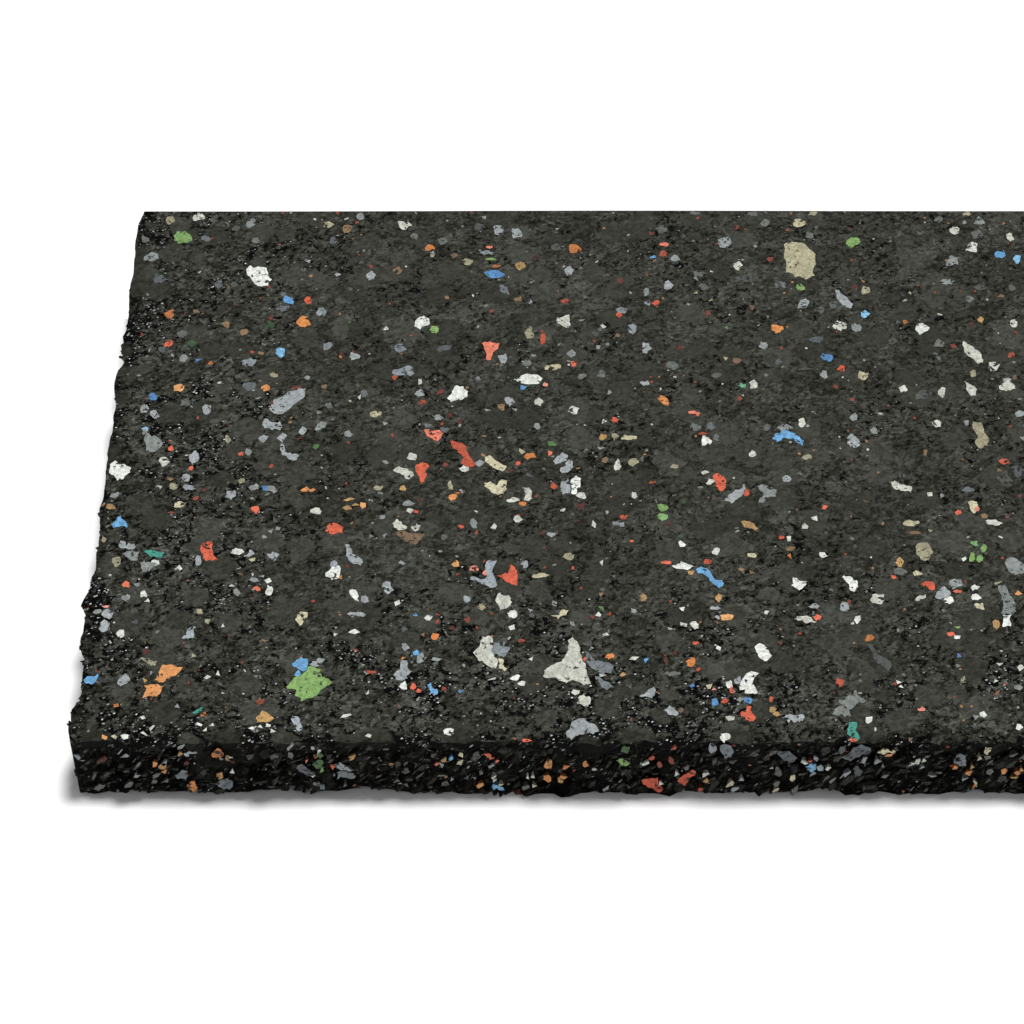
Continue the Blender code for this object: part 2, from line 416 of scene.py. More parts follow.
        (695, 413, 20, 10, -10), (545, 384, 9, 7), (663, 244, 18, 8), (550, 453, 8, 8), (489, 247, 13, 5),
        (106, 606, 10, 4), (256, 588, 12, 7), (486, 572, 10, 9),
    ),
    ("red", 0.2): (
        (675, 653, 6, 7), (666, 661, 5, 11), (437, 621, 6, 6), (467, 619, 10, 8), (452, 627, 10, 6),
        (477, 627, 5, 5), (522, 640, 10, 6), (444, 688, 9, 6), (514, 697, 5, 4), (1003, 557, 5, 4),
        (849, 602, 7, 7), (147, 651, 11, 9), (260, 701, 15, 8, 20), (592, 617, 6, 5),
        (204, 489, 7, 5), (195, 498, 12, 5, 20), (171, 512, 8, 4), (348, 442, 7, 4), (423, 402, 12, 10),
        (440, 392, 15, 6, 30), (450, 415, 8, 7), (460, 421, 7, 8), (445, 465, 9, 7), (510, 470, 8, 4),
        (581, 505, 13, 11), (419, 499, 5, 9), (542, 533, 7, 5), (836, 386, 9, 7), (740, 398, 9, 8),
        (669, 523, 6, 8), (1010, 426, 6, 6), (702, 433, 14, 5), (297, 387, 15, 4, 20), (272, 403, 5, 6),
        (142, 334, 6, 8), (357, 222, 8, 5), (371, 266, 9, 7), (252, 352, 8, 6), (341, 353, 8, 8),
        (535, 257, 11, 10), (620, 281, 10, 12), (736, 227, 14, 9), (770, 259, 11, 10), (708, 313, 12, 9),
        (855, 286, 12, 9), (679, 347, 14, 9), (953, 345, 11, 8), (971, 324, 8, 8), (1016, 332, 6, 7),
        (492, 311, 7, 7),
    ),
    ("green", 0.75): (
        (975, 543, 9, 7), (983, 548, 7, 9), (972, 557, 7, 10), (979, 558, 8, 8), (182, 237, 24, 22),
        (853, 241, 19, 15), (662, 507, 13, 9), (663, 517, 13, 9), (801, 287, 12, 10), (434, 329, 12, 11),
    ),
    ("green", 0.15): (
        (552, 443, 10, 7), (271, 325, 13, 8), (191, 343, 12, 9), (316, 446, 8, 7), (683, 501, 7, 5),
    ),
    ("green", 0.95): ((958, 627, 5, 3), (491, 259, 15, 4), (742, 385, 9, 7)),
    ("blue", 0.35): (
        (416, 652, 8, 6), (692, 685, 6, 4), (748, 700, 9, 8), (715, 702, 8, 9), (461, 691, 5, 3),
        (289, 300, 14, 12), (494, 274, 25, 12), (827, 357, 15, 11), (1000, 254, 14, 12), (154, 396, 12, 9),
        (265, 488, 7, 7), (523, 387, 8, 6),
    ),
    ("blue", 0.9): ((280, 352, 13, 13), (1017, 259, 12, 11), (145, 429, 10, 5), (865, 314, 12, 10)),
}

SEEN_ON_FRONT = {
    ("white", 0.6): (
        (196, 762, 6, 3, 40), (233, 770, 5, 4), (494, 776, 5, 3, 30), (495, 779, 4, 3), (528, 776, 3, 3),
        (533, 776, 4, 3, 35), (646, 762, 8, 4), (661, 782, 5, 4), (676, 773, 5, 4), (827, 767, 6, 4),
        (924, 759, 5, 3), (804, 761, 9, 3, -15), (319, 751, 5, 4, 40), (312, 774, 7, 3, -10),
        (705, 773, 7, 5), (231, 757, 4, 5),
    ),
    ("cream", 0.9): (
        (461, 754, 5, 5), (460, 761, 7, 5), (501, 783, 5, 2), (535, 784, 4, 4, 45), (793, 777, 8, 6),
        (771, 765, 6, 3, 10), (776, 789, 8, 3), (979, 757, 5, 3), (975, 782, 4, 5, 60), (730, 783, 10, 5, 30),
    ),
    ("light_grey", 0.45): (
        (181, 746, 8, 3, 35), (164, 762, 8, 4, 40), (441, 764, 5, 4, 45), (492, 765, 8, 3, 20),
        (812, 773, 7, 3, 30), (847, 772, 10, 4, 35), (735, 788, 9, 5), (932, 774, 6, 3, 15),
        (922, 766, 6, 2, 30), (965, 778, 5, 3), (291, 745, 13, 3, 50), (125, 755, 9, 4, 20),
        (138, 774, 8, 4, 10), (452, 778, 4, 3, 40), (741, 778, 5, 4, 50), (864, 759, 7, 6),
        (877, 760, 5, 8, -60),
    ),
    ("mid_grey", 0.5): (
        (155, 780, 7, 4), (166, 779, 5, 4), (481, 771, 4, 4, 50), (345, 784, 4, 3, 40), (777, 782, 9, 5),
        (526, 786, 9, 5), (406, 784, 5, 3), (396, 780, 6, 3), (885, 775, 7, 4), (883, 764, 4, 3),
        (987, 756, 9, 4, 15), (990, 770, 9, 6), (1013, 754, 6, 3), (687, 767, 7, 4), (157, 774, 9, 5),
        (100, 786, 14, 6), (130, 783, 12, 5), (291, 754, 6, 8), (474, 777, 4, 3, 45), (777, 767, 4, 3),
    ),
    ("mid_grey", 0.1): (
        (477, 755, 10, 9), (445, 782, 8, 6), (405, 770, 10, 7), (778, 771, 8, 9), (858, 771, 12, 10),
    ),
    ("slate", 0.8): ((78, 756, 4, 8, 50), (816, 757, 5, 6, 60), (820, 767, 8, 7), (712, 747, 9, 12, 40)),
    ("tan", 0.8): (
        (180, 753, 6, 4), (352, 756, 9, 5), (444, 759, 6, 5, 40), (163, 766, 9, 7, 40), (220, 774, 9, 7),
        (973, 765, 5, 3, 30), (1013, 777, 7, 3, 20), (1021, 770, 5, 4, 30), (706, 779, 6, 5),
        (228, 757, 5, 6, 50), (214, 765, 7, 4, 55), (561, 779, 6, 7),
    ),
    ("orange", 0.7): (
        (155, 763, 7, 5), (165, 770, 5, 4), (480, 784, 9, 5), (549, 763, 11, 9, 50), (566, 766, 8, 4),
        (548, 777, 10, 8, -40), (563, 776, 8, 5), (955, 766, 6, 4), (968, 772, 7, 5, 30),
        (974, 785, 5, 3, 20), (1004, 770, 9, 5), (1017, 772, 6, 5), (889, 754, 9, 3, 10),
    ),
    ("red", 0.75): ((437, 763, 6, 5, 50), (307, 760, 5, 3), (491, 757, 6, 3, 10), (497, 760, 6, 4, 30)),
    ("red", 0.6): ((488, 754, 10, 6, -20), (333, 766, 5, 8), (810, 760, 5, 4)),
    ("red", 0.3): (
        (652, 757, 9, 6), (659, 763, 8, 9), (671, 759, 9, 11), (674, 747, 8, 4), (658, 788, 10, 6),
        (700, 788, 10, 5),
    ),
    ("red", 0.0): ((102, 759, 16, 7, 35), (187, 762, 8, 6)),
    ("green", 0.15): ((320, 754, 6, 6), (318, 763, 12, 9), (625, 748, 10, 8)),
    ("green", 0.6): ((321, 768, 5, 4),),
    ("blue", 0.7): ((451, 757, 6, 4, 30), (497, 786, 15, 6, -12)),
}

# Chips whose shape stands out, each as its corners in pixels
SHAPED_ON_TOP = {
    ("white", 0.9): (
        ((110, 464), (115, 460), (124, 463), (131, 467), (130, 472), (124, 477), (117, 480), (111, 474)),
        ((740, 690), (743, 678), (747, 673), (759, 673), (753, 681), (748, 690)),
        ((793, 577), (807, 581), (799, 590), (791, 585)),
        ((842, 577), (850, 576), (857, 580), (858, 587), (854, 592), (850, 590), (849, 584), (845, 580)),
        ((1003, 614), (1012, 614), (1011, 626), (1002, 627)),
        ((755, 646), (762, 644), (769, 650), (772, 655), (765, 661), (760, 658), (756, 652)),
        ((571, 479), (576, 475), (581, 478), (580, 487), (577, 493), (571, 493)),
        ((447, 398), (452, 391), (457, 385), (463, 386), (468, 391), (467, 397), (460, 400), (451, 402)),
        ((246, 269), (251, 265), (258, 266), (268, 272), (272, 279), (268, 285), (262, 286), (252, 280)),
    ),
    ("white", 0.15): (
        (
            (573, 637), (578, 643), (582, 658), (587, 673), (591, 683), (584, 685), (577, 681), (566, 683),
            (556, 677), (543, 676), (544, 670), (551, 665), (562, 661), (568, 650), (571, 638),
        ),
        (
            (473, 652), (480, 645), (483, 636), (488, 635), (493, 641), (491, 650), (498, 660), (495, 668),
            (486, 664), (478, 660),
        ),
        ((495, 600), (500, 592), (509, 595), (512, 602), (506, 608), (500, 610)),
        ((794, 619), (805, 616), (811, 617), (817, 622), (807, 623), (803, 620)),
        ((870, 600), (873, 594), (884, 594), (884, 597), (877, 598), (884, 600), (882, 604), (873, 603)),
        ((915, 600), (920, 595), (926, 594), (926, 597), (919, 601)),
        ((577, 703), (578, 697), (584, 694), (591, 698), (590, 704), (584, 706)),
        ((522, 487), (528, 487), (532, 491), (532, 498), (528, 501), (524, 500), (526, 494)),
        ((393, 470), (399, 466), (406, 468), (412, 471), (414, 475), (409, 479), (404, 475), (396, 472)),
        ((392, 523), (396, 519), (401, 521), (407, 526), (405, 529), (399, 530), (394, 527)),
        ((891, 481), (895, 480), (901, 484), (909, 485), (912, 486), (911, 492), (903, 490), (896, 489)),
        ((964, 380), (969, 383), (977, 389), (976, 395), (971, 395), (966, 388)),
        ((963, 341), (967, 343), (975, 349), (982, 357), (983, 362), (978, 363), (970, 356), (964, 347)),
    ),
    ("light_grey", 0.5): (
        (
            (566, 734), (572, 721), (581, 718), (592, 723), (599, 731), (593, 734), (587, 733), (579, 734),
            (571, 740),
        ),
        ((401, 660), (407, 660), (408, 668), (413, 670), (407, 675), (396, 679), (394, 673), (400, 668)),
        ((639, 696), (648, 690), (654, 687), (656, 690), (652, 698), (645, 696)),
        ((664, 710), (669, 705), (674, 707), (679, 713), (676, 716), (668, 714)),
        ((345, 544), (349, 544), (352, 553), (363, 562), (361, 565), (350, 561), (346, 555)),
        ((781, 718), (790, 714), (802, 714), (805, 717), (800, 722), (793, 722), (790, 719)),
        ((935, 597), (942, 587), (945, 586), (951, 594), (948, 598)),
        ((117, 683), (124, 673), (128, 675), (130, 680), (124, 684), (120, 686)),
        ((262, 424), (266, 418), (272, 422), (280, 421), (282, 425), (280, 430), (272, 430), (266, 428)),
        (
            (269, 408), (272, 402), (280, 397), (290, 391), (299, 387), (306, 388), (305, 394), (298, 401),
            (289, 409), (281, 414), (274, 413),
        ),
        (
            (281, 443), (284, 445), (285, 451), (292, 454), (299, 455), (297, 459), (289, 459), (283, 455),
            (280, 449),
        ),
        ((553, 461), (557, 456), (563, 452), (568, 455), (567, 460), (560, 463), (555, 464)),
        ((560, 471), (566, 465), (569, 459), (573, 461), (573, 467), (568, 472), (562, 473)),
        ((562, 481), (568, 478), (571, 483), (570, 493), (563, 494), (561, 489)),
        ((724, 500), (729, 494), (737, 489), (744, 483), (746, 488), (743, 494), (737, 499), (731, 503)),
        ((835, 290), (839, 289), (846, 296), (853, 303), (851, 308), (846, 307), (838, 299)),
        ((848, 436), (853, 433), (859, 439), (860, 445), (853, 447), (847, 443)),
    ),
    ("slate", 1.0): (
        ((181, 638), (186, 635), (187, 629), (190, 627), (196, 626), (194, 632), (194, 637), (188, 638)),
    ),
    ("light_grey", 0.0): (
        (
            (142, 432), (146, 429), (150, 434), (158, 437), (163, 443), (158, 449), (152, 452), (146, 450),
            (144, 438),
        ),
        (
            (757, 485), (763, 484), (770, 487), (777, 489), (776, 496), (768, 497), (764, 502), (758, 503),
            (764, 493),
        ),
        ((1007, 558), (1014, 557), (1024, 562), (1024, 572), (1017, 574), (1009, 571), (1006, 565)),
    ),
    ("slate", 0.45): (
        ((585, 650), (591, 655), (601, 661), (614, 665), (611, 673), (599, 678), (596, 670), (586, 661)),
        ((595, 676), (606, 681), (613, 687), (607, 690), (601, 686)),
    ),
    ("slate", 0.6): (
        ((493, 642), (505, 641), (504, 646), (510, 646), (506, 655), (499, 656), (496, 653), (491, 650)),
    ),
    ("slate", 0.85): (
        (
            (488, 560), (497, 560), (497, 585), (487, 585), (480, 583), (470, 579), (471, 576), (481, 579),
            (487, 576),
        ),
    ),
    ("mid_grey", 0.0): (
        ((867, 643), (872, 644), (882, 656), (892, 665), (888, 671), (881, 664), (873, 655)),
    ),
    ("mid_grey", 0.8): (
        (
            (840, 699), (849, 695), (856, 690), (860, 697), (865, 700), (863, 703), (856, 703), (854, 707),
            (849, 710), (852, 716), (845, 717), (832, 714), (836, 708), (843, 705), (839, 700),
        ),
        (
            (1001, 613), (1003, 603), (1002, 595), (998, 585), (1005, 584), (1010, 595), (1015, 602),
            (1016, 611),
        ),
    ),
    ("tan", 0.15): (
        ((396, 532), (405, 530), (412, 533), (425, 532), (421, 539), (416, 545), (410, 543), (403, 538)),
    ),
    ("cream", 0.35): (
        (
            (784, 244), (792, 241), (801, 242), (810, 249), (815, 256), (814, 266), (815, 275), (806, 279),
            (795, 277), (786, 272), (784, 258),
        ),
    ),
    ("cream", 0.1): (
        (
            (973, 421), (979, 422), (984, 428), (989, 438), (988, 445), (981, 448), (976, 444), (978, 436),
            (973, 428),
        ),
        ((140, 657), (149, 658), (157, 660), (154, 664), (146, 662)),
        ((916, 545), (922, 542), (930, 545), (933, 552), (929, 559), (921, 559), (916, 552)),
    ),
    ("cream", 0.75): (
        ((551, 615), (561, 610), (569, 610), (566, 615), (558, 619)),
        ((498, 658), (502, 658), (507, 668), (505, 671), (499, 665)),
        ((485, 456), (490, 455), (498, 461), (507, 466), (505, 469), (497, 469), (490, 465), (485, 461)),
        (
            (484, 483), (491, 481), (497, 485), (502, 479), (507, 480), (507, 489), (501, 493), (493, 493),
            (488, 488),
        ),
        ((968, 501), (977, 501), (980, 508), (975, 513), (970, 508)),
    ),
    ("tan", 0.9): (((256, 717), (262, 710), (270, 714), (274, 718), (266, 722), (257, 722)),),
    ("orange", 0.75): (
        ((183, 666), (176, 666), (169, 664), (161, 666), (159, 673), (154, 680), (163, 682), (171, 676)),
        ((144, 685), (153, 684), (164, 685), (159, 694), (153, 696), (141, 698), (144, 693), (146, 690)),
    ),
    ("red", 0.55): (
        (
            (747, 706), (751, 706), (751, 711), (756, 717), (753, 721), (747, 720), (741, 716), (741, 712),
            (746, 712),
        ),
        (
            (202, 543), (207, 541), (213, 541), (212, 549), (214, 555), (218, 559), (212, 560), (203, 557),
            (201, 552),
        ),
        ((497, 575), (510, 563), (517, 573), (517, 585), (509, 582)),
        ((920, 584), (925, 581), (935, 586), (935, 588), (931, 590), (924, 586)),
        ((325, 530), (329, 523), (337, 523), (343, 526), (342, 533), (332, 534)),
        ((415, 466), (417, 464), (427, 463), (429, 466), (427, 474), (424, 481), (422, 484), (418, 475)),
        ((713, 475), (720, 474), (726, 480), (725, 488), (721, 491), (716, 486), (714, 480)),
    ),
    ("red", 0.4): (
        (
            (450, 441), (457, 442), (464, 445), (467, 451), (470, 457), (475, 462), (474, 466), (466, 466),
            (461, 463), (464, 457), (459, 453), (453, 448),
        ),
    ),
    ("red", 0.8): (
        ((482, 343), (490, 341), (499, 343), (498, 349), (493, 352), (491, 360), (486, 359), (485, 350)),
        ((424, 430), (428, 429), (433, 431), (440, 430), (443, 433), (441, 438), (434, 440), (427, 436)),
    ),
    ("green", 0.6): (
        (
            (286, 686), (292, 680), (300, 674), (307, 667), (321, 668), (322, 676), (328, 678), (332, 682),
            (327, 685), (320, 690), (313, 697), (301, 701), (295, 695), (297, 690), (292, 688),
        ),
    ),
    ("green", 1.0): (
        (
            (144, 551), (147, 549), (152, 550), (158, 551), (164, 552), (163, 556), (158, 558), (152, 556),
            (147, 553),
        ),
        ((849, 722), (856, 722), (855, 730), (860, 738), (858, 740), (852, 738), (847, 734)),
        ((192, 712), (199, 708), (203, 706), (202, 710), (197, 713)),
    ),
    ("blue", 0.45): (
        ((113, 527), (112, 522), (116, 519), (120, 514), (126, 521), (127, 527)),
        (
            (696, 569), (701, 566), (710, 571), (722, 580), (723, 585), (719, 588), (714, 584), (709, 577),
            (698, 573),
        ),
        (
            (292, 663), (297, 659), (306, 658), (308, 663), (307, 669), (303, 672), (294, 675), (299, 669),
            (293, 666),
        ),
        ((84, 679), (92, 676), (98, 673), (96, 681), (91, 684), (85, 683)),
        ((427, 684), (431, 682), (438, 690), (437, 694), (430, 693)),
        (
            (772, 438), (775, 433), (783, 429), (790, 431), (797, 435), (804, 440), (803, 445), (797, 442),
            (790, 438), (784, 437), (778, 441),
        ),
    ),
}

SHAPED_ON_FRONT = {
    ("slate", 0.3): (
        ((840, 756), (848, 752), (855, 746), (862, 743), (871, 747), (870, 752), (860, 755), (850, 760)),
        ((838, 750), (840, 746), (846, 744), (845, 750), (841, 753)),
    ),
    ("slate", 0.5): (
        ((720, 744), (730, 744), (733, 752), (731, 756), (724, 757), (722, 752)),
        ((175, 774), (181, 769), (187, 769), (188, 775), (186, 780), (182, 777), (177, 777)),
        ((214, 781), (220, 779), (227, 777), (232, 779), (230, 788), (224, 788), (218, 784)),
        ((954, 758), (956, 754), (964, 754), (966, 759), (966, 765), (960, 765), (955, 762)),
        ((337, 771), (343, 769), (350, 771), (356, 775), (354, 777), (346, 776), (341, 775), (337, 778)),
        ((313, 782), (318, 780), (324, 783), (325, 787), (320, 789), (321, 785), (315, 784)),
    ),
    ("slate", 0.25): (
        ((296, 767), (300, 763), (305, 765), (311, 770), (314, 774), (308, 774), (302, 771)),
        ((777, 751), (783, 750), (790, 750), (797, 756), (794, 760), (787, 759), (781, 756)),
    ),
    ("light_grey", 0.8): (
        ((184, 752), (190, 750), (197, 751), (202, 756), (202, 760), (196, 757), (189, 755)),
        ((334, 763), (339, 761), (344, 763), (349, 767), (354, 769), (350, 771), (342, 769), (336, 766)),
    ),
    ("white", 0.5): (((911, 763), (914, 757), (920, 757), (919, 762), (914, 764), (908, 765)),),
    ("cream", 1.0): (
        ((877, 751), (882, 748), (890, 750), (897, 747), (893, 752), (884, 753)),
        ((985, 746), (991, 746), (990, 750), (987, 754), (984, 752)),
    ),
    ("orange", 0.6): (
        ((213, 756), (212, 752), (216, 748), (221, 748), (224, 753), (221, 756), (217, 757)),
        ((187, 785), (191, 780), (195, 779), (198, 786), (193, 790)),
        ((582, 758), (586, 759), (590, 765), (585, 766), (583, 762)),
    ),
    ("red", 0.5): (
        (
            (641, 778), (650, 777), (658, 776), (658, 782), (663, 787), (659, 791), (654, 788), (648, 786),
            (643, 783),
        ),
        ((677, 780), (685, 773), (693, 768), (696, 770), (695, 774), (688, 780), (683, 784), (680, 782)),
    ),
    ("green", 0.65): (((616, 759), (619, 757), (626, 759), (630, 762), (625, 765), (619, 767), (621, 763)),),
    ("blue", 0.7): (((806, 765), (812, 762), (817, 762), (816, 768), (811, 771)),),
}

# The lower edge of the front cut in the photograph, as points in pixels
FOOT_LINE = (
    (80, 793), (94, 794), (127, 793), (134, 789), (141, 791), (147, 793), (160, 793), (176, 792), (197, 791),
    (212, 793), (228, 793), (240, 794), (252, 792), (259, 790), (275, 791), (285, 787), (295, 787),
    (308, 791), (328, 792), (343, 792), (357, 789), (383, 788), (390, 790), (407, 793), (418, 794),
    (428, 789), (433, 790), (439, 793), (461, 795), (478, 794), (507, 794), (514, 791), (523, 792),
    (533, 795), (545, 796), (550, 795), (560, 799), (572, 798), (579, 794), (594, 793), (621, 793),
    (631, 796), (647, 794), (657, 794), (670, 798), (677, 793), (685, 790), (692, 793), (720, 794),
    (746, 792), (771, 792), (808, 792), (816, 789), (830, 789), (840, 792), (845, 797), (858, 796),
    (865, 792), (876, 793), (888, 792), (895, 795), (905, 795), (915, 792), (921, 795), (935, 795),
    (951, 792), (966, 793), (972, 790), (977, 789), (983, 792), (1002, 793), (1014, 795), (1020, 792),
)


def linear(srgb):
    """An sRGB colour as the linear colour of a shader, less what the bright light adds to it."""
    return [((c / 255 + 0.055) / 1.055) ** 2.4 / LIGHT_GAIN for c in srgb] + [1.0]


# Places read off the photograph

def photo_ray(x_pixels, y_pixels):
    """Direction of the camera's ray through a pixel, with a length of 1 along the camera's axis."""
    right = (x_pixels - PHOTO_CENTRE) / FOCAL_PIXELS
    up = (PHOTO_CENTRE - y_pixels) / FOCAL_PIXELS
    sine, cosine = math.sin(CAMERA_PITCH), math.cos(CAMERA_PITCH)
    return Vector((right, cosine + up * sine, up * cosine - sine))


def on_level(x_pixels, y_pixels, height):
    """The point at this height that a pixel shows."""
    ray = photo_ray(x_pixels, y_pixels)
    return CAMERA + ray * ((height - CAMERA.z) / ray.z)


def on_front(x_pixels, y_pixels):
    """The point of the front cut that a pixel shows."""
    ray = photo_ray(x_pixels, y_pixels)
    return CAMERA + ray * ((cad_low.y + CUT_LINE - CAMERA.y) / ray.y)


# The outline of the cut

# Each side's start corner, the direction along it, and the direction inward
SIDES = (
    (np.array((cad_low.x, cad_low.y)), np.array((1.0, 0.0)), np.array((0.0, 1.0))),
    (np.array((cad_high.x, cad_low.y)), np.array((0.0, 1.0)), np.array((-1.0, 0.0))),
    (np.array((cad_high.x, cad_high.y)), np.array((-1.0, 0.0)), np.array((0.0, -1.0))),
    (np.array((cad_low.x, cad_high.y)), np.array((0.0, -1.0)), np.array((1.0, 0.0))),
)
FRONT, LEFT = 0, 3


def cad_cut():
    """The heights of the CAD solid's levels and, for each side and level, its stations and depths of cut."""
    mesh = frame["nodes"][NODE].data
    points = np.empty(len(mesh.vertices) * 3)
    mesh.vertices.foreach_get("co", points)
    points = np.unique(points.reshape(-1, 3).round(7), axis=0)
    points = points[np.abs(points[:, :2]).max(axis=1) > SIDE / 4]
    heights = np.unique(points[:, 2].round(5))
    cuts = []
    for start, along, inward in SIDES:
        station = (points[:, :2] - start) @ along
        depth = (points[:, :2] - start) @ inward
        to_corner = np.minimum(station, SIDE - station)
        on_side = (depth <= to_corner + 0.01 * MM) & (depth < SIDE / 4)
        levels = []
        for height in heights:
            at_height = on_side & (np.abs(points[:, 2] - height) < 0.1 * MM)
            order = np.argsort(station[at_height])
            levels.append((station[at_height][order], depth[at_height][order]))
        cuts.append(levels)
    return heights, cuts


def photographed_foot():
    """Stations along the front side, and the depths of the cut there at the floor."""
    foot = np.array([on_level(*point, cad_low.z) for point in FOOT_LINE])
    return foot[:, 0] - cad_low.x, foot[:, 1] - cad_low.y


HEIGHTS, CUTS = cad_cut()
FOOT = photographed_foot()


def smoothstep(x):
    x = np.clip(x, 0.0, 1.0)
    return x * x * (3 - 2 * x)


def below_arris(height):
    """0 at the upper arris, which the press keeps straight, and 1 from STRAIGHT_NEAR_ARRIS below it."""
    return smoothstep((cad_high.z - height) / STRAIGHT_NEAR_ARRIS)


def above_foot(height):
    """0 at the lower arris and 1 from STRAIGHT_NEAR_FOOT above it."""
    return smoothstep((height - cad_low.z) / STRAIGHT_NEAR_FOOT)


def grown(least, share):
    """Least where the share is 0 and 1 where it is 1."""
    return least + (1 - least) * share


def cut_depth(side, station, height):
    """Depth of the cut's outline at arrays of stations and heights, straighter at the arrises than in CAD."""
    stacked = np.array([np.interp(station, *level) for level in CUTS[side]])
    place = np.interp(height, HEIGHTS, np.arange(len(HEIGHTS)))
    lower = np.minimum(place.astype(int), len(HEIGHTS) - 2)
    index = np.indices(station.shape)
    depth = stacked[(lower, *index)] * (lower + 1 - place) + stacked[(lower + 1, *index)] * (place - lower)
    if side == LEFT:
        return depth
    near_foot = 1 - above_foot(height)
    undercut = np.full(station.shape, FOOT_UNDERCUT)
    if side == FRONT:
        undercut = np.interp(station, *FOOT, right=CUT_LINE + FOOT_UNDERCUT) - CUT_LINE
    straight = CUT_LINE + undercut * near_foot
    straightness = STRAIGHTNESS_AT_ARRIS * (1 - below_arris(height)) + STRAIGHTNESS_AT_FOOT * near_foot
    return depth + (straight - depth) * straightness


# The relief of faces and cuts

def face_sink(x, y):
    """How far a wide face lies inside the CAD face at a place: a slow wave left by the press."""
    wave = np.sin(x * 61 + 1.3 * np.sin(y * 47)) + np.sin(y * 73 + 1.1 * np.sin(x * 39) + 2.0)
    return FACE_SINK + FACE_WAVE * wave / 2


class CutSurface:
    """The cut sides: crumbs, each with its own height and tilt, and grooves between them."""

    def __init__(self, rng):
        length = 4 * SIDE
        count = int(length * THICKNESS / CRUMB_PITCH ** 2)
        self.sites = np.column_stack([rng.uniform(0, length, count), rng.uniform(0, THICKNESS, count)])
        self.rise = CRUMB_STEP * rng.standard_normal(count)
        self.rise -= PULLED_DEPTH * (rng.random_sample(count) < PULLED_SHARE)
        self.tilt = CRUMB_TILT * rng.standard_normal((count, 2))
        self.tree = kdtree.KDTree(count)
        for index, (s, z) in enumerate(self.sites):
            self.tree.insert((s, z, 0.0), index)
        self.tree.balance()

    def relief(self, s, z):
        """How far the crumbs stand out (positive) or in at each place, s running round the whole mat."""
        rise = np.empty(s.shape)
        for place in np.ndindex(s.shape):
            (_, near, first), (_, _, second) = self.tree.find_n((s[place], z[place], 0.0), 2)
            offset = np.array((s[place], z[place])) - self.sites[near]
            groove = 1 - min((second - first) / GROOVE_WIDTH, 1.0)
            rise[place] = self.rise[near] + offset @ self.tilt[near] - GROOVE_DEPTH * groove
        return rise

    def depth(self, side, station, height):
        """Depth of the whole cut on one side, for arrays of stations and heights."""
        to_corner = np.minimum(station - CORNER_INSET, SIDE - CORNER_INSET - station)
        share = smoothstep(to_corner / CALM_NEAR_CORNER)
        share *= grown(RELIEF_AT_ARRIS, below_arris(height))
        share *= grown(RELIEF_AT_FOOT, above_foot(height))
        depth = cut_depth(side, station, height) - self.relief(station + side * SIDE, height) * share
        return np.clip(depth, SHALLOWEST_CUT, DEEPEST_CUT)


# The skin

def wall_points(surface):
    """Points and depths of the cut sides in rows, each a ring round the mat, and the heights of the rows."""
    station = CORNER_INSET + np.arange(FINE_STEPS) / FINE_STEPS * (SIDE - 2 * CORNER_INSET)
    heights = cad_low.z + THICKNESS * np.linspace(0, 1, WALL_ROWS)
    s, z = np.meshgrid(station, heights)
    plans, depths = [], []
    for side, (start, along, inward) in enumerate(SIDES):
        depth = surface.depth(side, s, z)
        plans.append(start + s[..., None] * along + depth[..., None] * inward)
        depths.append(depth)
    return np.concatenate(plans, axis=1), np.concatenate(depths, axis=1), heights


def face_rings(depth):
    """Plan rings of a wide face, from its arris, which has this depth of cut, to near its centre.

    Where the face gets coarser, a ring has half as many points as the one before.
    """
    rings = []
    steps, inset, follow = FINE_STEPS, 0.0, 1.0
    while True:
        spacing = SIDE / steps
        inset += spacing
        follow = max(0.0, follow - 1 / ROWS_FOLLOWING_ARRIS)
        margin = inset + follow * CORNER_INSET
        if margin > SIDE / 2 - CENTRE_GAP_IN_ROWS * spacing:
            return rings
        station = margin + np.arange(steps) / steps * (SIDE - 2 * margin)
        ring = []
        for side, (start, along, inward) in enumerate(SIDES):
            across = inset + follow * depth[side * steps: (side + 1) * steps]
            ring.append(start + station[:, None] * along + across[:, None] * inward)
        rings.append(np.concatenate(ring))
        if len(rings) in COARSER_AFTER_ROWS:
            steps //= 2
            depth = depth[::2]


def bridge(outer, inner):
    """Faces between two rings of vertex numbers, the inner one as fine as the outer or half as fine."""
    after = np.roll(inner, -1)
    if len(outer) == len(inner):
        return np.column_stack([outer, np.roll(outer, -1), after, inner]).tolist()
    first, middle, last = outer[0::2], outer[1::2], np.roll(outer[0::2], -1)
    faces = np.column_stack([first, middle, inner]).tolist()
    faces += np.column_stack([middle, last, after]).tolist()
    faces += np.column_stack([middle, after, inner]).tolist()
    return faces


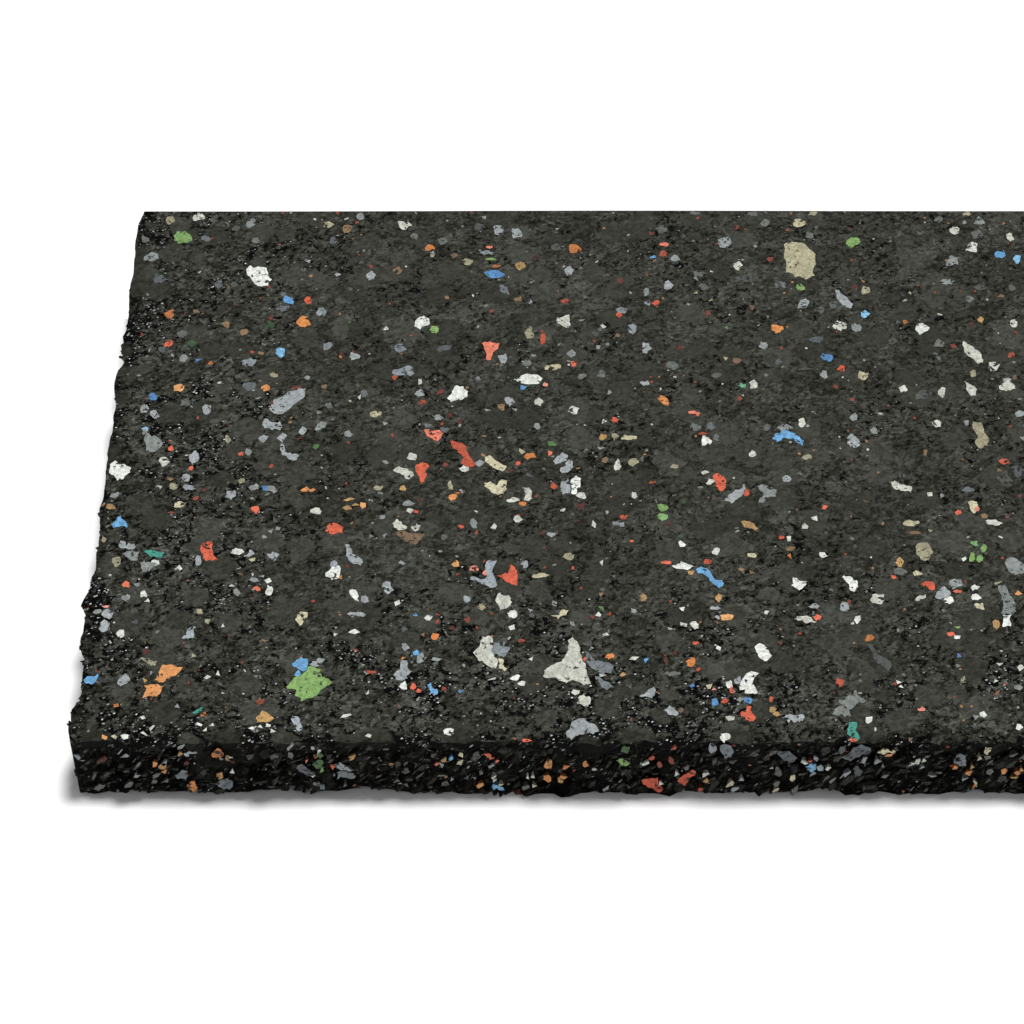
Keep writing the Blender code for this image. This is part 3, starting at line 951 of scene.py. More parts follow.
def skin_mesh(rng, surface):
    """The whole closed skin: cut sides, then each wide face ring by ring to a fan at its centre."""
    plan, depth, heights = wall_points(surface)
    ring_size = plan.shape[1]
    vertices, faces = [], []
    for row, height in enumerate(heights):
        z = np.full(ring_size, height)
        if row in (0, WALL_ROWS - 1):
            sink = face_sink(plan[row, :, 0], plan[row, :, 1])
            nick = NICK_DEPTH * rng.random_sample(ring_size) ** NICK_RARITY
            z += (sink + nick) * (1 if row == 0 else -1)
        vertices.append(np.column_stack([plan[row], z]))
    numbers = [np.arange(ring_size) + row * ring_size for row in range(WALL_ROWS)]
    for lower, upper in zip(numbers, numbers[1:]):
        faces += bridge(lower, upper)
    materials = [CUT] * len(faces)
    total = WALL_ROWS * ring_size
    for row, level, inward in ((WALL_ROWS - 1, cad_high.z, -1), (0, cad_low.z, 1)):
        outer = numbers[row]
        made = []
        for ring in face_rings(depth[row]):
            vertices.append(np.column_stack([ring, level + inward * face_sink(ring[:, 0], ring[:, 1])]))
            inner = np.arange(len(ring)) + total
            total += len(ring)
            made += bridge(outer, inner)
            outer = inner
        vertices.append(np.array([[0.0, 0.0, level + inward * face_sink(0.0, 0.0)]]))
        made += [(int(a), int(b), total) for a, b in zip(outer, np.roll(outer, -1))]
        total += 1
        faces += made if row else [face[::-1] for face in made]
        materials += [PRESSED] * len(made)
    mesh = bpy.data.meshes.new("crumb_skin")
    mesh.from_pydata(np.concatenate(vertices).tolist(), [], faces)
    mesh.polygons.foreach_set("material_index", materials)
    return mesh


# Chips and crumbs

class Crumbs:
    """Collects closed little solids, each a flat outline with a point below it, sunk in a face of the mat."""

    def __init__(self):
        self.vertices, self.faces, self.tones, self.smears, self.total = [], [], [], [], 0

    def add(self, rims, lids, points, tones, smear=0.0):
        """Rims are solids x corners x 3, lids the same but smaller and raised or None, points solids x 3."""
        solids, corners = rims.shape[:2]
        layers = [rims] if lids is None else [rims, lids]
        block = np.concatenate([*layers, points[:, None]], axis=1)
        per_solid = block.shape[1]
        self.vertices.append(np.clip(block.reshape(-1, 3), cad_low, cad_high))
        lid = corners * (len(layers) - 1)
        faces = [tuple(range(lid, lid + corners))]
        for k in range(corners):
            after = (k + 1) % corners
            if lids is not None:
                faces.append((k, after, corners + after, corners + k))
            faces.append((after, k, per_solid - 1))
        for solid in range(solids):
            base = self.total + solid * per_solid
            self.faces += [tuple(base + v for v in face) for face in faces]
        # The sides get a lower tone than the top: painted shade
        shares = [1.0] + [SHADED_RIM_TONE] * (len(faces) - 1)
        self.tones.append(np.outer(tones, shares).ravel())
        self.smears.append(np.full(solids * len(faces), smear))
        self.total += solids * per_solid

    def as_piece(self, name, material):
        mesh = bpy.data.meshes.new(name)
        mesh.from_pydata(np.concatenate(self.vertices).tolist(), [], self.faces)
        for label, values in (("tone", self.tones), ("smear", self.smears)):
            layer = mesh.attributes.new(label, "FLOAT", "FACE")
            layer.data.foreach_set("value", np.concatenate(values).astype(np.float32))
        mesh.materials.append(material)
        return piece(name, mesh)


def in_scene(name, data):
    made = bpy.data.objects.new(name, data)
    bpy.context.scene.collection.objects.link(made)
    return made


def piece(name, mesh):
    made = in_scene(name, mesh)
    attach(made, BODY)
    return made


def area_inside(outline):
    """Area of each outline, given as corners x 2 or outlines x corners x 2, positive where anticlockwise."""
    after = np.roll(outline, -1, axis=-2)
    return 0.5 * (outline[..., 0] * after[..., 1] - outline[..., 1] * after[..., 0]).sum(axis=-1)


def crumb_outlines(rng, areas, corners, stretch=(1.0, 1.7), lean=(0.0, math.pi)):
    """Random angular outlines with these areas, as solids x corners x 2 in the plane of the face."""
    count = len(areas)
    shift = rng.uniform(-CORNER_SHIFT, CORNER_SHIFT, (count, corners))
    turn = (np.arange(corners) + shift) * 2 * np.pi / corners
    reach = rng.uniform(*CORNER_REACH, (count, corners))
    outline = np.stack([np.cos(turn), np.sin(turn)], axis=-1) * reach[..., None]
    outline[..., 0] *= rng.uniform(*stretch, count)[:, None]
    outline *= np.sqrt(areas / area_inside(outline))[:, None, None]
    turned = rng.uniform(*lean, count)
    cosine, sine = np.cos(turned)[:, None], np.sin(turned)[:, None]
    x, y = outline[..., 0], outline[..., 1]
    return np.stack([x * cosine - y * sine, x * sine + y * cosine], axis=-1)


def frayed(rng, outline):
    """The outline with a point added on each edge and pushed sideways a little."""
    edge = np.roll(outline, -1, axis=0) - outline
    share = rng.uniform(*FRAYED_AT, (len(outline), 1))
    side = np.column_stack([-edge[:, 1], edge[:, 0]]) * FRAY * rng.standard_normal((len(outline), 1))
    return np.stack([outline, outline + edge * share + side], axis=1).reshape(-1, 2)


# The chips seen in the photograph

def blur(y_pixels):
    """0 in the photograph's sharp rows and 1 at its crop, where it is most out of focus."""
    return max(0.0, (SHARP_ROW_PIXELS - y_pixels) / (SHARP_ROW_PIXELS - CROP_ROW_PIXELS))


def picture_outline(rng, share, usual_lean, x, y, width, height, lean=None):
    """A ragged outline in pixels for a chip given by its centre, size and lean, at this share of its size."""
    corners = 3 + int(min(MOST_ADDED_CORNERS, width * height / SQUARE_PIXELS_FOR_CORNER))
    shift = rng.uniform(-SEEN_CORNER_SHIFT, SEEN_CORNER_SHIFT, corners)
    turn = (np.arange(corners) + shift) * 2 * np.pi / corners + rng.uniform(0, np.pi)
    reach = rng.uniform(*SEEN_CORNER_REACH, corners)
    across, down = width * reach * np.cos(turn), height * reach * np.sin(turn)
    # Out of focus, the photograph shows the chips wider than they are.
    size = share * (1 - (1 - SIZE_AT_CROP) * blur(y))
    size *= math.sqrt(FILLED_SHARE * width * height / area_inside(np.column_stack([across, down])))
    across, down = size * across, size * down
    lean = math.radians(usual_lean if lean is None else lean)
    cosine, sine = math.cos(lean), math.sin(lean)
    outline = np.column_stack([x + across * cosine + down * sine, y - across * sine + down * cosine])
    return frayed(rng, outline) if width * height > FRAYED_FROM_SQUARE_PIXELS else outline


def seen_chip(crumbs, rng, outline, tone, smear, in_front_cut):
    """Sets a chip with this outline in pixels into the upper face or the front cut. Gives place and area."""
    if in_front_cut:
        rim = np.array([on_front(*corner) for corner in outline]) + np.array((0.0, -PROUD_OF_CUT, 0.0))
        plane, out = rim[:, (0, 2)], np.array((0.0, -1.0, 0.0))
    else:
        rim = np.array([on_level(*corner, cad_high.z) for corner in outline])
        left_side = cad_low.x + np.interp(cad_high.y - rim[:, 1], *CUTS[LEFT][-1])
        rim[:, 0] = np.maximum(rim[:, 0], left_side + INSIDE_LEFT)
        rim[:, 2] -= face_sink(rim[:, 0], rim[:, 1]) - PROUD_OF_FACE * rng.uniform(*SEEN_RISE)
        plane, out = rim[:, :2], np.array((0.0, 0.0, 1.0))
    area = area_inside(plane)
    if area < 0:
        rim, area = rim[::-1], -area
    depth = ROOTED_IN_CUT if in_front_cut else SEEN_ROOT * math.sqrt(area)
    crumbs.add(rim[None], None, (rim.mean(axis=0) - depth * out)[None], np.array([tone]), smear)
    return plane.mean(axis=0), area


def seen_chips(store, rng):
    """The chips read off the photograph. Gives the places and areas taken on the upper face and the cut."""
    on_faces = []
    for in_front_cut, plain, shaped, plain_smear, shaped_smear, tones, lean in (
        (False, SEEN_ON_TOP, SHAPED_ON_TOP, SMEAR_ON_FACE, SMEAR_ON_SHAPED, TONES_ON_FACE, 0.0),
        (True, SEEN_ON_FRONT, SHAPED_ON_FRONT, SMEAR_ON_CUT, SMEAR_ON_CUT, TONES_ON_CUT, LEAN_IN_CUT),
    ):
        taken = []
        for (kind, tone), chips in plain.items():
            for chip in chips:
                own = (tone + rng.uniform(*tones)) * (1 - FAINTER_AT_CROP * blur(chip[1]))
                outline = picture_outline(rng, SHARE_OF_READ_SIZE.get(kind, 1.0), lean, *chip)
                smear = plain_smear * min(1.0, chip[2] * chip[3] / SMEARED_FROM_SQUARE_PIXELS)
                taken.append(seen_chip(store[kind], rng, outline, max(own, 0.0), smear, in_front_cut))
        for (kind, tone), chips in shaped.items():
            for corners in chips:
                outline = frayed(rng, frayed(rng, np.array(corners, dtype=float)))
                taken.append(seen_chip(store[kind], rng, outline, tone, shaped_smear, in_front_cut))
        on_faces.append(taken)
    return on_faces


# The chips and crumbs spread at random

def random_areas(rng, count):
    areas = MEDIAN_AREA * np.exp(AREA_SPREAD * rng.standard_normal(count))
    return np.clip(areas, SMALLEST_AREA, LARGEST_AREA)


def random_kinds(rng, count):
    shares = np.array([share for share, _ in KINDS.values()])
    return rng.choice(list(KINDS), count, p=shares / shares.sum())


def random_tones(rng, areas):
    """A small chip is duller, because more of it is under rubber."""
    return rng.random_sample(len(areas)) * np.clip(areas / FULL_TONE_AREA, LEAST_TONE, 1.0)


def random_plan(rng, areas):
    """Places for chips on a wide face, some of them side by side with another one."""
    reach = SIDE / 2 - FROM_SIDE
    places = rng.uniform(-reach, reach, (len(areas), 2))
    beside = np.flatnonzero(rng.random_sample(len(areas)) < CLUSTERED_SHARE)
    partner = rng.randint(0, len(areas), len(beside))
    turn = rng.uniform(0, 2 * np.pi, len(beside))
    gap = CLUSTER_GAP * (np.sqrt(areas[beside]) + np.sqrt(areas[partner]))
    places[beside] = places[partner] + np.column_stack([np.cos(turn), np.sin(turn)]) * gap[:, None]
    return np.clip(places, -reach, reach)


def clear_of(places, areas, taken):
    """Which chips keep off the ones seen in the photograph, and stay small in the part that it shows."""
    corner_x, corner_y = cad_low.x + PHOTOGRAPHED_WIDTH, cad_low.y + PHOTOGRAPHED_DEPTH
    photographed = (places[:, 0] < corner_x) & (places[:, 1] < corner_y)
    keep = ~photographed | (areas < LARGEST_UNSEEN_AREA)
    for (x, y), area in taken:
        distance = np.hypot(places[:, 0] - x, places[:, 1] - y)
        keep &= distance > FROM_SEEN * (np.sqrt(areas) + math.sqrt(area))
    return keep


def corner_count(areas):
    """More corners on a larger chip."""
    smaller = [areas < limit * MM * MM for limit, _ in CORNERS_BELOW_SQUARE_MM]
    return np.select(smaller, [corners for _, corners in CORNERS_BELOW_SQUARE_MM], MOST_CORNERS)


def wide_face(level, out, places):
    """Centres in the upper face (out is 1) or the lower one (-1), and its directions across, up and out."""
    centres = np.column_stack([places, level - out * face_sink(places[:, 0], places[:, 1])])
    return centres, np.array((1.0, 0.0, 0.0)), np.array((0.0, out, 0.0)), np.array((0.0, 0.0, out))


def cut_face(surface, side, station, height, sink):
    """Centres sunk this far in a cut side, and its directions across, up and out."""
    start, along, inward = SIDES[side]
    depth = surface.depth(side, station, height) + sink
    plan = start + station[:, None] * along + depth[:, None] * inward
    centres = np.column_stack([plan, height])
    return centres, np.array((*along, 0.0)), np.array((0.0, 0.0, 1.0)), np.array((*-inward, 0.0))


def on_face(face, outline):
    """Outlines, one for each centre of a face, laid in the face."""
    centres, across, up, _ = face
    return centres[:, None] + outline[..., :1] * across + outline[..., 1:] * up


def set_in_face(store, rng, face, areas, kinds, tones, keep, rise, smear, shape=()):
    """Sinks the chips to keep into a face, those of one kind and number of corners at a time."""
    centres, across, up, out = face
    corners = corner_count(areas)
    for kind, crumbs in store.items():
        for sides in np.unique(corners):
            these = keep & (kinds == kind) & (corners == sides)
            own_areas, own_centres = areas[these], centres[these]
            outline = crumb_outlines(rng, own_areas, int(sides), *shape)
            tilt = CHIP_TILT * rng.standard_normal((len(own_areas), 2))
            lift = rise * rng.uniform(*CHIP_RISE, len(own_areas))[:, None]
            lift = lift + (outline * tilt[:, None]).sum(axis=-1)
            rims = on_face((own_centres, across, up, out), outline) + lift[..., None] * out
            root = CHIP_ROOT * np.sqrt(own_areas) * rng.uniform(*CHIP_ROOT_SPREAD, len(own_areas))
            crumbs.add(rims, None, own_centres - root[:, None] * out, tones[these], smear)


def random_chips(store, rng, taken):
    """Chips over both wide faces, by the shares and sizes counted in the photograph."""
    count = int(SIDE * SIDE / MM ** 2 * CHIPS_PER_SQUARE_MM)
    for level, out in ((cad_high.z, 1.0), (cad_low.z, -1.0)):
        areas = random_areas(rng, count)
        places = random_plan(rng, areas)
        kinds = random_kinds(rng, count)
        tones = random_tones(rng, areas)
        keep = clear_of(places, areas, taken) if level == cad_high.z else np.full(count, True)
        face = wide_face(level, out, places)
        set_in_face(store, rng, face, areas, kinds, tones, keep, PROUD_OF_FACE, SMEAR_ON_FACE)


def cut_chips(store, rng, surface):
    """Chips in the four cut sides, outside the part that the photograph shows."""
    count = int(SIDE * THICKNESS / MM ** 2 * CHIPS_PER_SQUARE_MM_CUT)
    for side in range(4):
        areas = np.minimum(random_areas(rng, count), LARGEST_AREA_IN_CUT)
        station = rng.uniform(FROM_SIDE, SIDE - FROM_SIDE, count)
        height = cad_low.z + rng.uniform(*CUT_CHIP_HEIGHT, count) * THICKNESS
        kinds = random_kinds(rng, count)
        tones = random_tones(rng, areas)
        face = cut_face(surface, side, station, height, rng.uniform(*CUT_CHIP_SINK_MM, count) * MM)
        keep = (station > PHOTOGRAPHED_WIDTH) | (side != FRONT)
        set_in_face(
            store, rng, face, areas, kinds, tones, keep, CUT_CHIP_RISE, SMEAR_ON_CUT, CUT_CHIP_SHAPE,
        )


def torn_areas(rng, count, station, height):
    """Areas for torn crumbs, smaller near the upper arris and near a corner of the mat."""
    areas = np.clip(np.exp(TORN_AREA_SPREAD * rng.standard_normal(count)), *TORN_AREA_SHARES) * TORN_AREA
    areas *= grown(TORN_AREA_AT_ARRIS, below_arris(height))
    return np.minimum(areas, (TORN_REACH_TO_CORNER * np.minimum(station, SIDE - station)) ** 2)


def torn_crumbs(rng, surface, taken):
    """Black crumbs that stand out of the cuts: angular lumps with a tilted top, dragged by the knife."""
    crumbs = Crumbs()
    for side, on_side in enumerate(TORN_ON_SIDES):
        for corners in TORN_CORNERS:
            count = on_side // len(TORN_CORNERS)
            station = rng.uniform(TORN_FROM_CORNER, SIDE - TORN_FROM_CORNER, count)
            height = cad_low.z + rng.uniform(0.0, 1.0, count) * THICKNESS
            face = cut_face(surface, side, station, height, rng.uniform(*TORN_SINK_MM, count) * MM)
            centres, _, _, out = face
            areas = torn_areas(rng, count, station, height)
            if side == FRONT:
                for (x, z), area in taken:
                    distance = np.hypot(centres[:, 0] - x, centres[:, 2] - z)
                    areas[distance < TORN_FROM_SEEN * (np.sqrt(areas) + math.sqrt(area))] = SMALLEST_AREA
            outline = crumb_outlines(rng, areas, corners, *TORN_SHAPE)
            lid = outline * rng.uniform(*TORN_LID, (count, 1, 1))
            calm = grown(TORN_RISE_AT_ARRIS, below_arris(height))
            calm *= grown(TORN_RISE_AT_FOOT, above_foot(height))
            rise = (rng.uniform(*TORN_RISE_MM, count) * calm)[:, None] * MM
            tilt = TORN_TILT * rng.standard_normal((count, 2))
            lift = rise + (lid * tilt[:, None]).sum(axis=-1)
            lids = on_face(face, lid) + lift[..., None] * out
            points = centres - TORN_ROOT * np.sqrt(areas)[:, None] * out
            crumbs.add(on_face(face, outline), lids, points, rng.random_sample(count))
    return crumbs


# Shader nodes

def new_material(name):
    material = bpy.data.materials.new(name)
    material.use_nodes = True
    tree = material.node_tree
    return material, tree, tree.nodes["Principled BSDF"]


def make(tree, kind, sockets=None, **settings):
    """Adds a node with these settings, its sockets fed with constants or with other nodes' outputs."""
    new = tree.nodes.new(kind)
    for name, value in settings.items():
        setattr(new, name, value)
    for name, value in (sockets or {}).items():
        if isinstance(value, bpy.types.NodeSocket):
            tree.links.new(value, new.inputs[name])
        else:
            new.inputs[name].default_value = value
    return new


def math_node(tree, operation, first, second=0.0):
    return make(tree, "ShaderNodeMath", {0: first, 1: second}, operation=operation).outputs[0]


def vector_node(tree, operation, sockets):
    return make(tree, "ShaderNodeVectorMath", sockets, operation=operation).outputs[0]


def product(tree, first, *others):
    for other in others:
        first = math_node(tree, "MULTIPLY", first, other)
    return first


def weighted_sum(tree, *terms):
    """The sum of centred values, each given as (value that swings round 0.5, weight)."""
    total = 0.0
    for value, weight in terms:
        total = math_node(tree, "ADD", total, product(tree, math_node(tree, "SUBTRACT", value, 0.5), weight))
    return total


def ramp(tree, value, low, high, to_low=0.0, to_high=1.0):
    """A smooth step of value from low to high."""
    sockets = {"Value": value, "From Min": low, "From Max": high, "To Min": to_low, "To Max": to_high}
    return make(tree, "ShaderNodeMapRange", sockets, interpolation_type="SMOOTHSTEP").outputs["Result"]


def between(tree, share, at_none, at_full):
    """A smooth change from the value where the share is 0 to the one where it is 1."""
    return ramp(tree, share, 0.0, 1.0, at_none, at_full)


def noise(tree, place, scale, detail=2.0, roughness=0.5, output="Fac"):
    sockets = {"Vector": place, "Scale": scale, "Detail": detail, "Roughness": roughness}
    return make(tree, "ShaderNodeTexNoise", sockets).outputs[output]


def cells(tree, place, scale):
    """Random cells: the distance from each one's middle, and three random numbers for each."""
    new = make(tree, "ShaderNodeTexVoronoi", {"Vector": place, "Scale": scale})
    chance = make(tree, "ShaderNodeSeparateColor", {"Color": new.outputs["Color"]}).outputs
    return new.outputs["Distance"], chance


def attribute(tree, name):
    return make(tree, "ShaderNodeAttribute", attribute_name=name).outputs["Fac"]


def places_in_mm(tree):
    """Places on the object in mm, from its own coordinates."""
    own = make(tree, "ShaderNodeTexCoord").outputs["Object"]
    return vector_node(tree, "SCALE", {0: own, "Scale": 1 / MM})


def bent(tree, place, scale, amount):
    """The same places pushed about by noise, so that cells lose their straight edges."""
    push = noise(tree, place, scale, output="Color")
    centred = vector_node(tree, "SUBTRACT", {0: push, 1: (0.5, 0.5, 0.5)})
    scaled = vector_node(tree, "SCALE", {0: centred, "Scale": amount})
    return vector_node(tree, "ADD", {0: place, 1: scaled})


def dragged(tree, place, ratio):
    """The same places for a texture drawn out by this ratio along the knife's path, rising to the right."""
    sockets = {"Vector": place, "Rotation": KNIFE_TURN, "Scale": (ratio, ratio ** -0.5, ratio ** -0.5)}
    return make(tree, "ShaderNodeMapping", sockets, vector_type="TEXTURE").outputs[0]


def blend_colours(tree, share, first, second, blend_type="MIX"):
    sockets = {"Fac": share, "Color1": first, "Color2": second}
    return make(tree, "ShaderNodeMixRGB", sockets, blend_type=blend_type).outputs[0]


def shaded(tree, colour, light, blue_light):
    """The colour times a brightness, which has its own value for blue."""
    sockets = {"Red": light, "Green": light, "Blue": blue_light}
    grey = make(tree, "ShaderNodeCombineColor", sockets).outputs[0]
    return blend_colours(tree, 1.0, colour, grey, "MULTIPLY")


def toned(tree, colour, exponent):
    """The colour times a number's exponential, which spreads as far down as up, bluer where lighter."""
    tone = math_node(tree, "EXPONENT", exponent)
    return shaded(tree, colour, tone, math_node(tree, "POWER", tone, BLUER_WHERE_LIGHTER))


def colour_steps(tree, value, colours, constant=False):
    """Runs through these sRGB colours, spread evenly, in steps if constant."""
    new = make(tree, "ShaderNodeValToRGB", {"Fac": value})
    if constant:
        new.color_ramp.interpolation = "CONSTANT"
    step = 1 / len(colours) if constant else 1 / (len(colours) - 1)
    elements = new.color_ramp.elements
    while len(elements) < len(colours):
        elements.new(0.5)
    for index, colour in enumerate(colours):
        elements[index].position = index * step
        elements[index].color = linear(colour)
    return new.outputs["Color"]


def finish(tree, shader, colour, roughness, gloss, height, bump_strength, bump_distance):
    """Feeds the shader with a material's colour, roughness, gloss and bump."""
    tree.links.new(colour, shader.inputs["Base Color"])
    tree.links.new(roughness, shader.inputs["Roughness"])
    shader.inputs["Specular IOR Level"].default_value = gloss
    sockets = {"Height": height, "Strength": bump_strength, "Distance": bump_distance}
    tree.links.new(make(tree, "ShaderNodeBump", sockets).outputs[0], shader.inputs["Normal"])


# The rubber

def wear_and_glint_bands(tree, place):
    """How far the mat has been rubbed towards its sides, and right at its arrises. There it is more open and
    has more painted glints, and right at its arrises it is darker.
    """
    axes = make(tree, "ShaderNodeSeparateXYZ", {"Vector": place}).outputs
    out = math_node(tree, "MAXIMUM", *(math_node(tree, "ABSOLUTE", axes[axis]) for axis in ("X", "Y")))
    return (
        ramp(tree, out, SIDE / 2 / MM - starts, SIDE / 2 / MM - full)
        for starts, full in ((WEAR_AND_GLINTS_START_MM, WEAR_AND_GLINTS_FULL_MM), (ARRIS_STARTS_MM, ARRIS_FULL_MM))
    )


def flat_crumbs(tree, place, flat_share):
    """Crumbs, some of them cut flat: 0 in the flat ones and 1 outside, and a random number for each crumb."""
    distance, chance = cells(tree, place, CRUMBS_PER_MM)
    chosen = math_node(tree, "LESS_THAN", chance[1], flat_share)
    from_middle = math_node(tree, "DIVIDE", distance, between(tree, chance[2], *FLAT_REACH))
    flat = product(tree, chosen, ramp(tree, from_middle, 0.75, 1.15, 1.0, 0.0))
    return math_node(tree, "SUBTRACT", 1.0, flat), chance[0]


def depth_of_opening(tree, torn, patches, worn_and_glinting, arris, openness):
    """How far the torn ground at a place is below the level at which a pit begins."""
    limit = ramp(tree, patches, 0.35, 0.65, *(share + openness for share in OPEN_SHARES))
    limit = math_node(tree, "ADD", limit, product(tree, worn_and_glinting, OPENER_AT_SIDE))
    limit = math_node(tree, "ADD", limit, product(tree, arris, OPENER_AT_ARRIS))
    return math_node(tree, "SUBTRACT", limit, torn)


def specks(tree, place):
    """Specks smaller than the modelled chips: where they are, and their colours."""
    distance, chance = cells(tree, place, SPECKS_PER_MM)
    inside = math_node(tree, "LESS_THAN", distance, between(tree, chance[2], *SPECK_REACH))
    present = math_node(tree, "GREATER_THAN", chance[0], SPECKLESS_SHARE)
    return product(tree, inside, present), colour_steps(tree, chance[1], SPECK_COLOURS, constant=True)


def painted_glint_facets(tree, place, patches, worn_and_glinting, painted_glint_amount):
    """Small facets in clusters, painted bright as painted glints: where they are, how bright each is, and
    another number for each.
    """
    distance, chance = cells(tree, place, FACETS_PER_MM)
    inside = math_node(tree, "LESS_THAN", distance, FACET_REACH)
    cluster = ramp(tree, patches, 0.40, 0.62, *(share * painted_glint_amount for share in CLUSTER_SHARES))
    wanted = product(tree, cluster, between(tree, worn_and_glinting, GLINTS_INSIDE, GLINTS_AT_SIDE))
    present = math_node(tree, "LESS_THAN", chance[0], wanted)
    return product(tree, inside, present), math_node(tree, "POWER", chance[1], 2.0), chance[2]


def rubber_material(name, colour, contrast, patchy, flat_share, openness, drag, painted_glint_amount, pit_depth):
    """Bonded crumb: flat crumbs, and between them crumbly ground with pits, painted near black as painted
    shade, and small facets painted bright as painted glints.
    """
    material, tree, shader = new_material(name)
    place = places_in_mm(tree)
    wavy = bent(tree, place, 0.6, 1.4)
    patches = noise(tree, place, 0.16)
    grain = noise(tree, dragged(tree, place, 1.6), 3.0, 2.0, 0.8)
    drawn_out = dragged(tree, wavy, drag)
    torn = noise(tree, drawn_out, 1.15, 4.0, 0.72)
    _, fragment = cells(tree, drawn_out, FRAGMENTS_PER_MM)
    worn_and_glinting, arris = wear_and_glint_bands(tree, wavy)
    rough, crumb_tone = flat_crumbs(tree, wavy, flat_share)
    opening = depth_of_opening(tree, torn, patches, worn_and_glinting, arris, openness)
    pit_with_shade = ramp(tree, opening, 0.0, 0.015)
    speck, speck_colour = specks(tree, wavy)
    facet, facet_light, facet_tone = painted_glint_facets(
        tree, dragged(tree, place, FACET_DRAG * drag), patches, worn_and_glinting, painted_glint_amount,
    )
    pit_rim = product(tree, ramp(tree, opening, -0.05, -0.015), rough)
    painted_glint = product(tree, facet, pit_rim, facet_light)

    # Dark and pale flecks, weaker in the flat crumbs and away from the sides
    terms = ((grain, 3.0), (torn, 1.0), (fragment[0], 1.2), (facet_tone, 1.0))
    crumbly = weighted_sum(tree, *((value, weight * contrast) for value, weight in terms))
    crumbly = math_node(tree, "MINIMUM", crumbly, product(tree, crumbly, PALE_FLECKS))
    crumbly = product(tree, crumbly, between(tree, rough, CONTRAST_IN_FLAT, 1.0))
    crumbly = product(tree, crumbly, between(tree, worn_and_glinting, CONTRAST_INSIDE, 1.0))
    crumbly = math_node(tree, "SUBTRACT", crumbly, product(tree, arris, DARKER_AT_ARRIS))
    exponent = math_node(tree, "ADD", crumbly, weighted_sum(tree, (crumb_tone, patchy)))
    rubber = toned(tree, linear(colour), exponent)
    # Pits: dented by the bump and painted near black, as painted shade in their hollows
    rubber = blend_colours(tree, product(tree, pit_with_shade, rough), rubber, linear(PIT_SHADE_COLOUR))
    rubber = blend_colours(tree, speck, rubber, speck_colour)
    # Painted glints: bright spots painted into the colour on the rims of pits, standing for highlights
    rubber = blend_colours(tree, painted_glint, rubber, linear(PAINTED_GLINT_COLOUR))

    height = math_node(tree, "ADD", product(tree, torn, 0.6), product(tree, pit_with_shade, -pit_depth))
    roughness = ramp(tree, grain, 0.3, 0.7, 0.50, 0.72)
    finish(tree, shader, rubber, roughness, RUBBER_GLOSS, height, between(tree, rough, 0.25, 0.9), MM)
    return material


def lump_material():
    """A black crumb that stands out of a cut, grained along the knife's path. Each has its own grey, darker
    on its sides as painted shade.
    """
    material, tree, shader = new_material("torn_crumb")
    tone = attribute(tree, "tone")
    grain = noise(tree, dragged(tree, places_in_mm(tree), 2.0), 2.2, 3.0, 0.75)
    pale = ramp(tree, tone, 0.96, 1.0, 0.0, 0.9)
    exponent = math_node(tree, "ADD", weighted_sum(tree, (tone, LUMP_SPREAD), (grain, LUMP_GRAIN)), pale)
    colour = toned(tree, linear(LUMP_COLOUR), exponent)
    finish(tree, shader, colour, ramp(tree, grain, 0.3, 0.7, 0.42, 0.62), LUMP_GLOSS, grain, 0.8, 0.4 * MM)
    return material


def chip_material(name, colours):
    """A coloured crumb: each chip its own tone, lower on its rim as painted shade, in dull grainy facets,
    some of them under black rubber.
    """
    material, tree, shader = new_material(name)
    place = places_in_mm(tree)
    _, facet = cells(tree, bent(tree, place, 1.2, 0.5), CHIP_FACETS_PER_MM)
    grain = noise(tree, place, 3.2, 3.0, 0.75)
    cloud = noise(tree, place, 1.5, 3.0, 0.75)
    light = product(
        tree, ramp(tree, grain, 0.25, 0.75, 0.72, 1.24), between(tree, facet[1], 1.08, 0.82),
        ramp(tree, cloud, 0.3, 0.7, 0.84, 1.12),
    )
    colour = shaded(tree, colour_steps(tree, attribute(tree, "tone"), colours), light, light)
    cover = math_node(tree, "ADD", product(tree, facet[0], 0.6), ramp(tree, cloud, 0.3, 0.7, 0.0, 0.4))
    covered = ramp(tree, math_node(tree, "SUBTRACT", attribute(tree, "smear"), cover), -0.01, 0.01)
    colour = blend_colours(tree, covered, colour, linear(SMEAR_COLOUR))
    height = math_node(tree, "ADD", product(tree, grain, 0.25), product(tree, covered, 0.1))
    finish(tree, shader, colour, ramp(tree, grain, 0.3, 0.7, 0.46, 0.64), CHIP_GLOSS, height, 0.7, MM)
    return material


# Building the mat

def build_mat(rng):
    surface = CutSurface(rng)
    skin = piece("mat_skin", skin_mesh(rng, surface))
    # In the order of PRESSED and CUT
    skin.data.materials.append(rubber_material(
        "pressed_crumb", PRESSED_COLOUR, contrast=1.4, patchy=0.55, flat_share=0.60, openness=0.01, drag=1.3,
        painted_glint_amount=1.0, pit_depth=0.30,
    ))
    # The cut sides are darker partly from their open crumb and partly from painted shade
    skin.data.materials.append(rubber_material(
        "cut_crumb", CUT_COLOUR_AND_SHADE, contrast=2.6, patchy=2.0, flat_share=0.40, openness=0.03, drag=2.0,
        painted_glint_amount=0.5, pit_depth=0.50,
    ))
    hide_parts(NODE)
    store = {kind: Crumbs() for kind in KINDS}
    on_top_face, on_front_cut = seen_chips(store, rng)
    torn_crumbs(rng, surface, on_front_cut).as_piece("torn_crumbs", lump_material())
    random_chips(store, rng, on_top_face)
    cut_chips(store, rng, surface)
    for kind, (_, colours) in KINDS.items():
        store[kind].as_piece(kind + "_chips", chip_material(kind + "_chip", colours))


# Building the studio

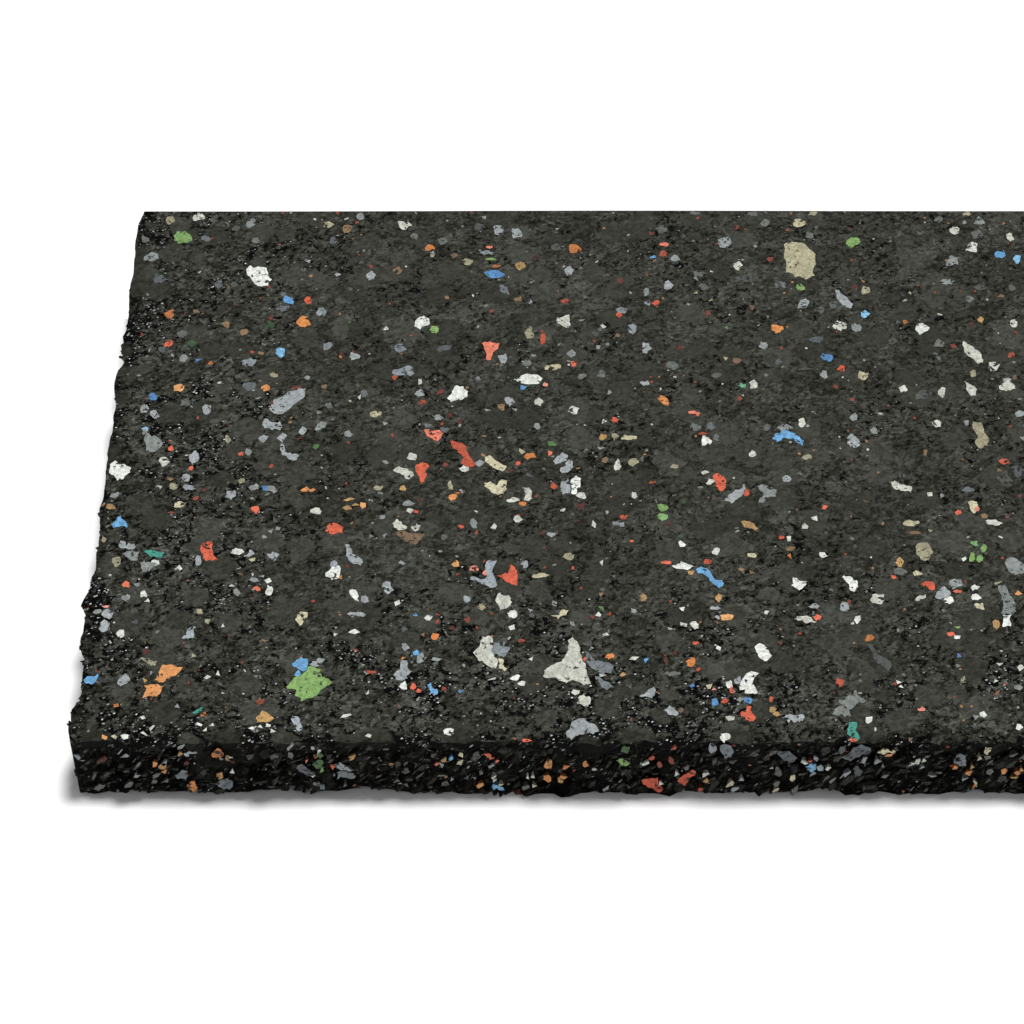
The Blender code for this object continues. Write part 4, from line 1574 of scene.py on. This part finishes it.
def floor():
    """A round sheet that the lamp lights white, so that it runs into the white surround without an edge."""
    turns = [2 * math.pi * k / FLOOR_CORNERS for k in range(FLOOR_CORNERS)]
    rim = [(FLOOR_RADIUS * math.cos(turn), FLOOR_RADIUS * math.sin(turn), 0.0) for turn in turns]
    mesh = bpy.data.meshes.new("floor")
    mesh.from_pydata(rim, [], [tuple(range(FLOOR_CORNERS))])
    material, _, shader = new_material("pale_floor")
    shader.inputs["Base Color"].default_value = FLOOR_COLOUR
    shader.inputs["Roughness"].default_value = FLOOR_ROUGHNESS
    shader.inputs["Specular IOR Level"].default_value = 0.0
    mesh.materials.append(material)
    made = in_scene("floor", mesh)


def world():
    """A white surround that lights the mat softly and shows as white behind the floor."""
    made = bpy.data.worlds.new("white_surround")
    made.use_nodes = True
    tree = made.node_tree
    tree.nodes.clear()
    seen = make(tree, "ShaderNodeLightPath").outputs["Is Camera Ray"]
    strength = between(tree, seen, SURROUND_LIGHT, SURROUND_SEEN)
    background = make(tree, "ShaderNodeBackground", {"Color": (1.0, 1.0, 1.0, 1.0), "Strength": strength})
    out = make(tree, "ShaderNodeOutputWorld")
    tree.links.new(background.outputs[0], out.inputs["Surface"])
    bpy.context.scene.world = made


def key_light():
    """A soft lamp nearly overhead, a little behind the corner and to its right."""
    target = Vector((cad_low.x + LIT_FROM_LEFT, cad_low.y + LIT_FROM_FRONT, cad_high.z))
    direction = Vector(LAMP_DIRECTION).normalized()
    data = bpy.data.lights.new("key", "AREA")
    data.shape = "DISK"
    data.size = LAMP_WIDTH
    data.energy = LAMP_WATTS
    lamp = in_scene("key", data)
    lamp.location = target + direction * LAMP_DISTANCE
    lamp.rotation_euler = direction.to_track_quat("Z", "Y").to_euler()


def camera():
    """The photograph's camera. What it sees ends at the depth where the photograph is cropped."""
    data = bpy.data.cameras.new("camera")
    data.sensor_width = SENSOR_MM
    data.lens = SENSOR_MM * FOCAL_PIXELS / PHOTO_PIXELS
    data.clip_start = NEAREST_SEEN
    data.clip_end = (cad_high.z - CAMERA.z) / photo_ray(PHOTO_CENTRE, CROP_ROW_PIXELS).z
    made = in_scene("camera", data)
    made.location = CAMERA
    made.rotation_euler = (math.pi / 2 - CAMERA_PITCH, 0.0, 0.0)
    bpy.context.scene.camera = made


build_mat(np.random.RandomState(SEED))
floor()
world()
key_light()
camera()
bpy.context.scene.view_settings.view_transform = "Standard"
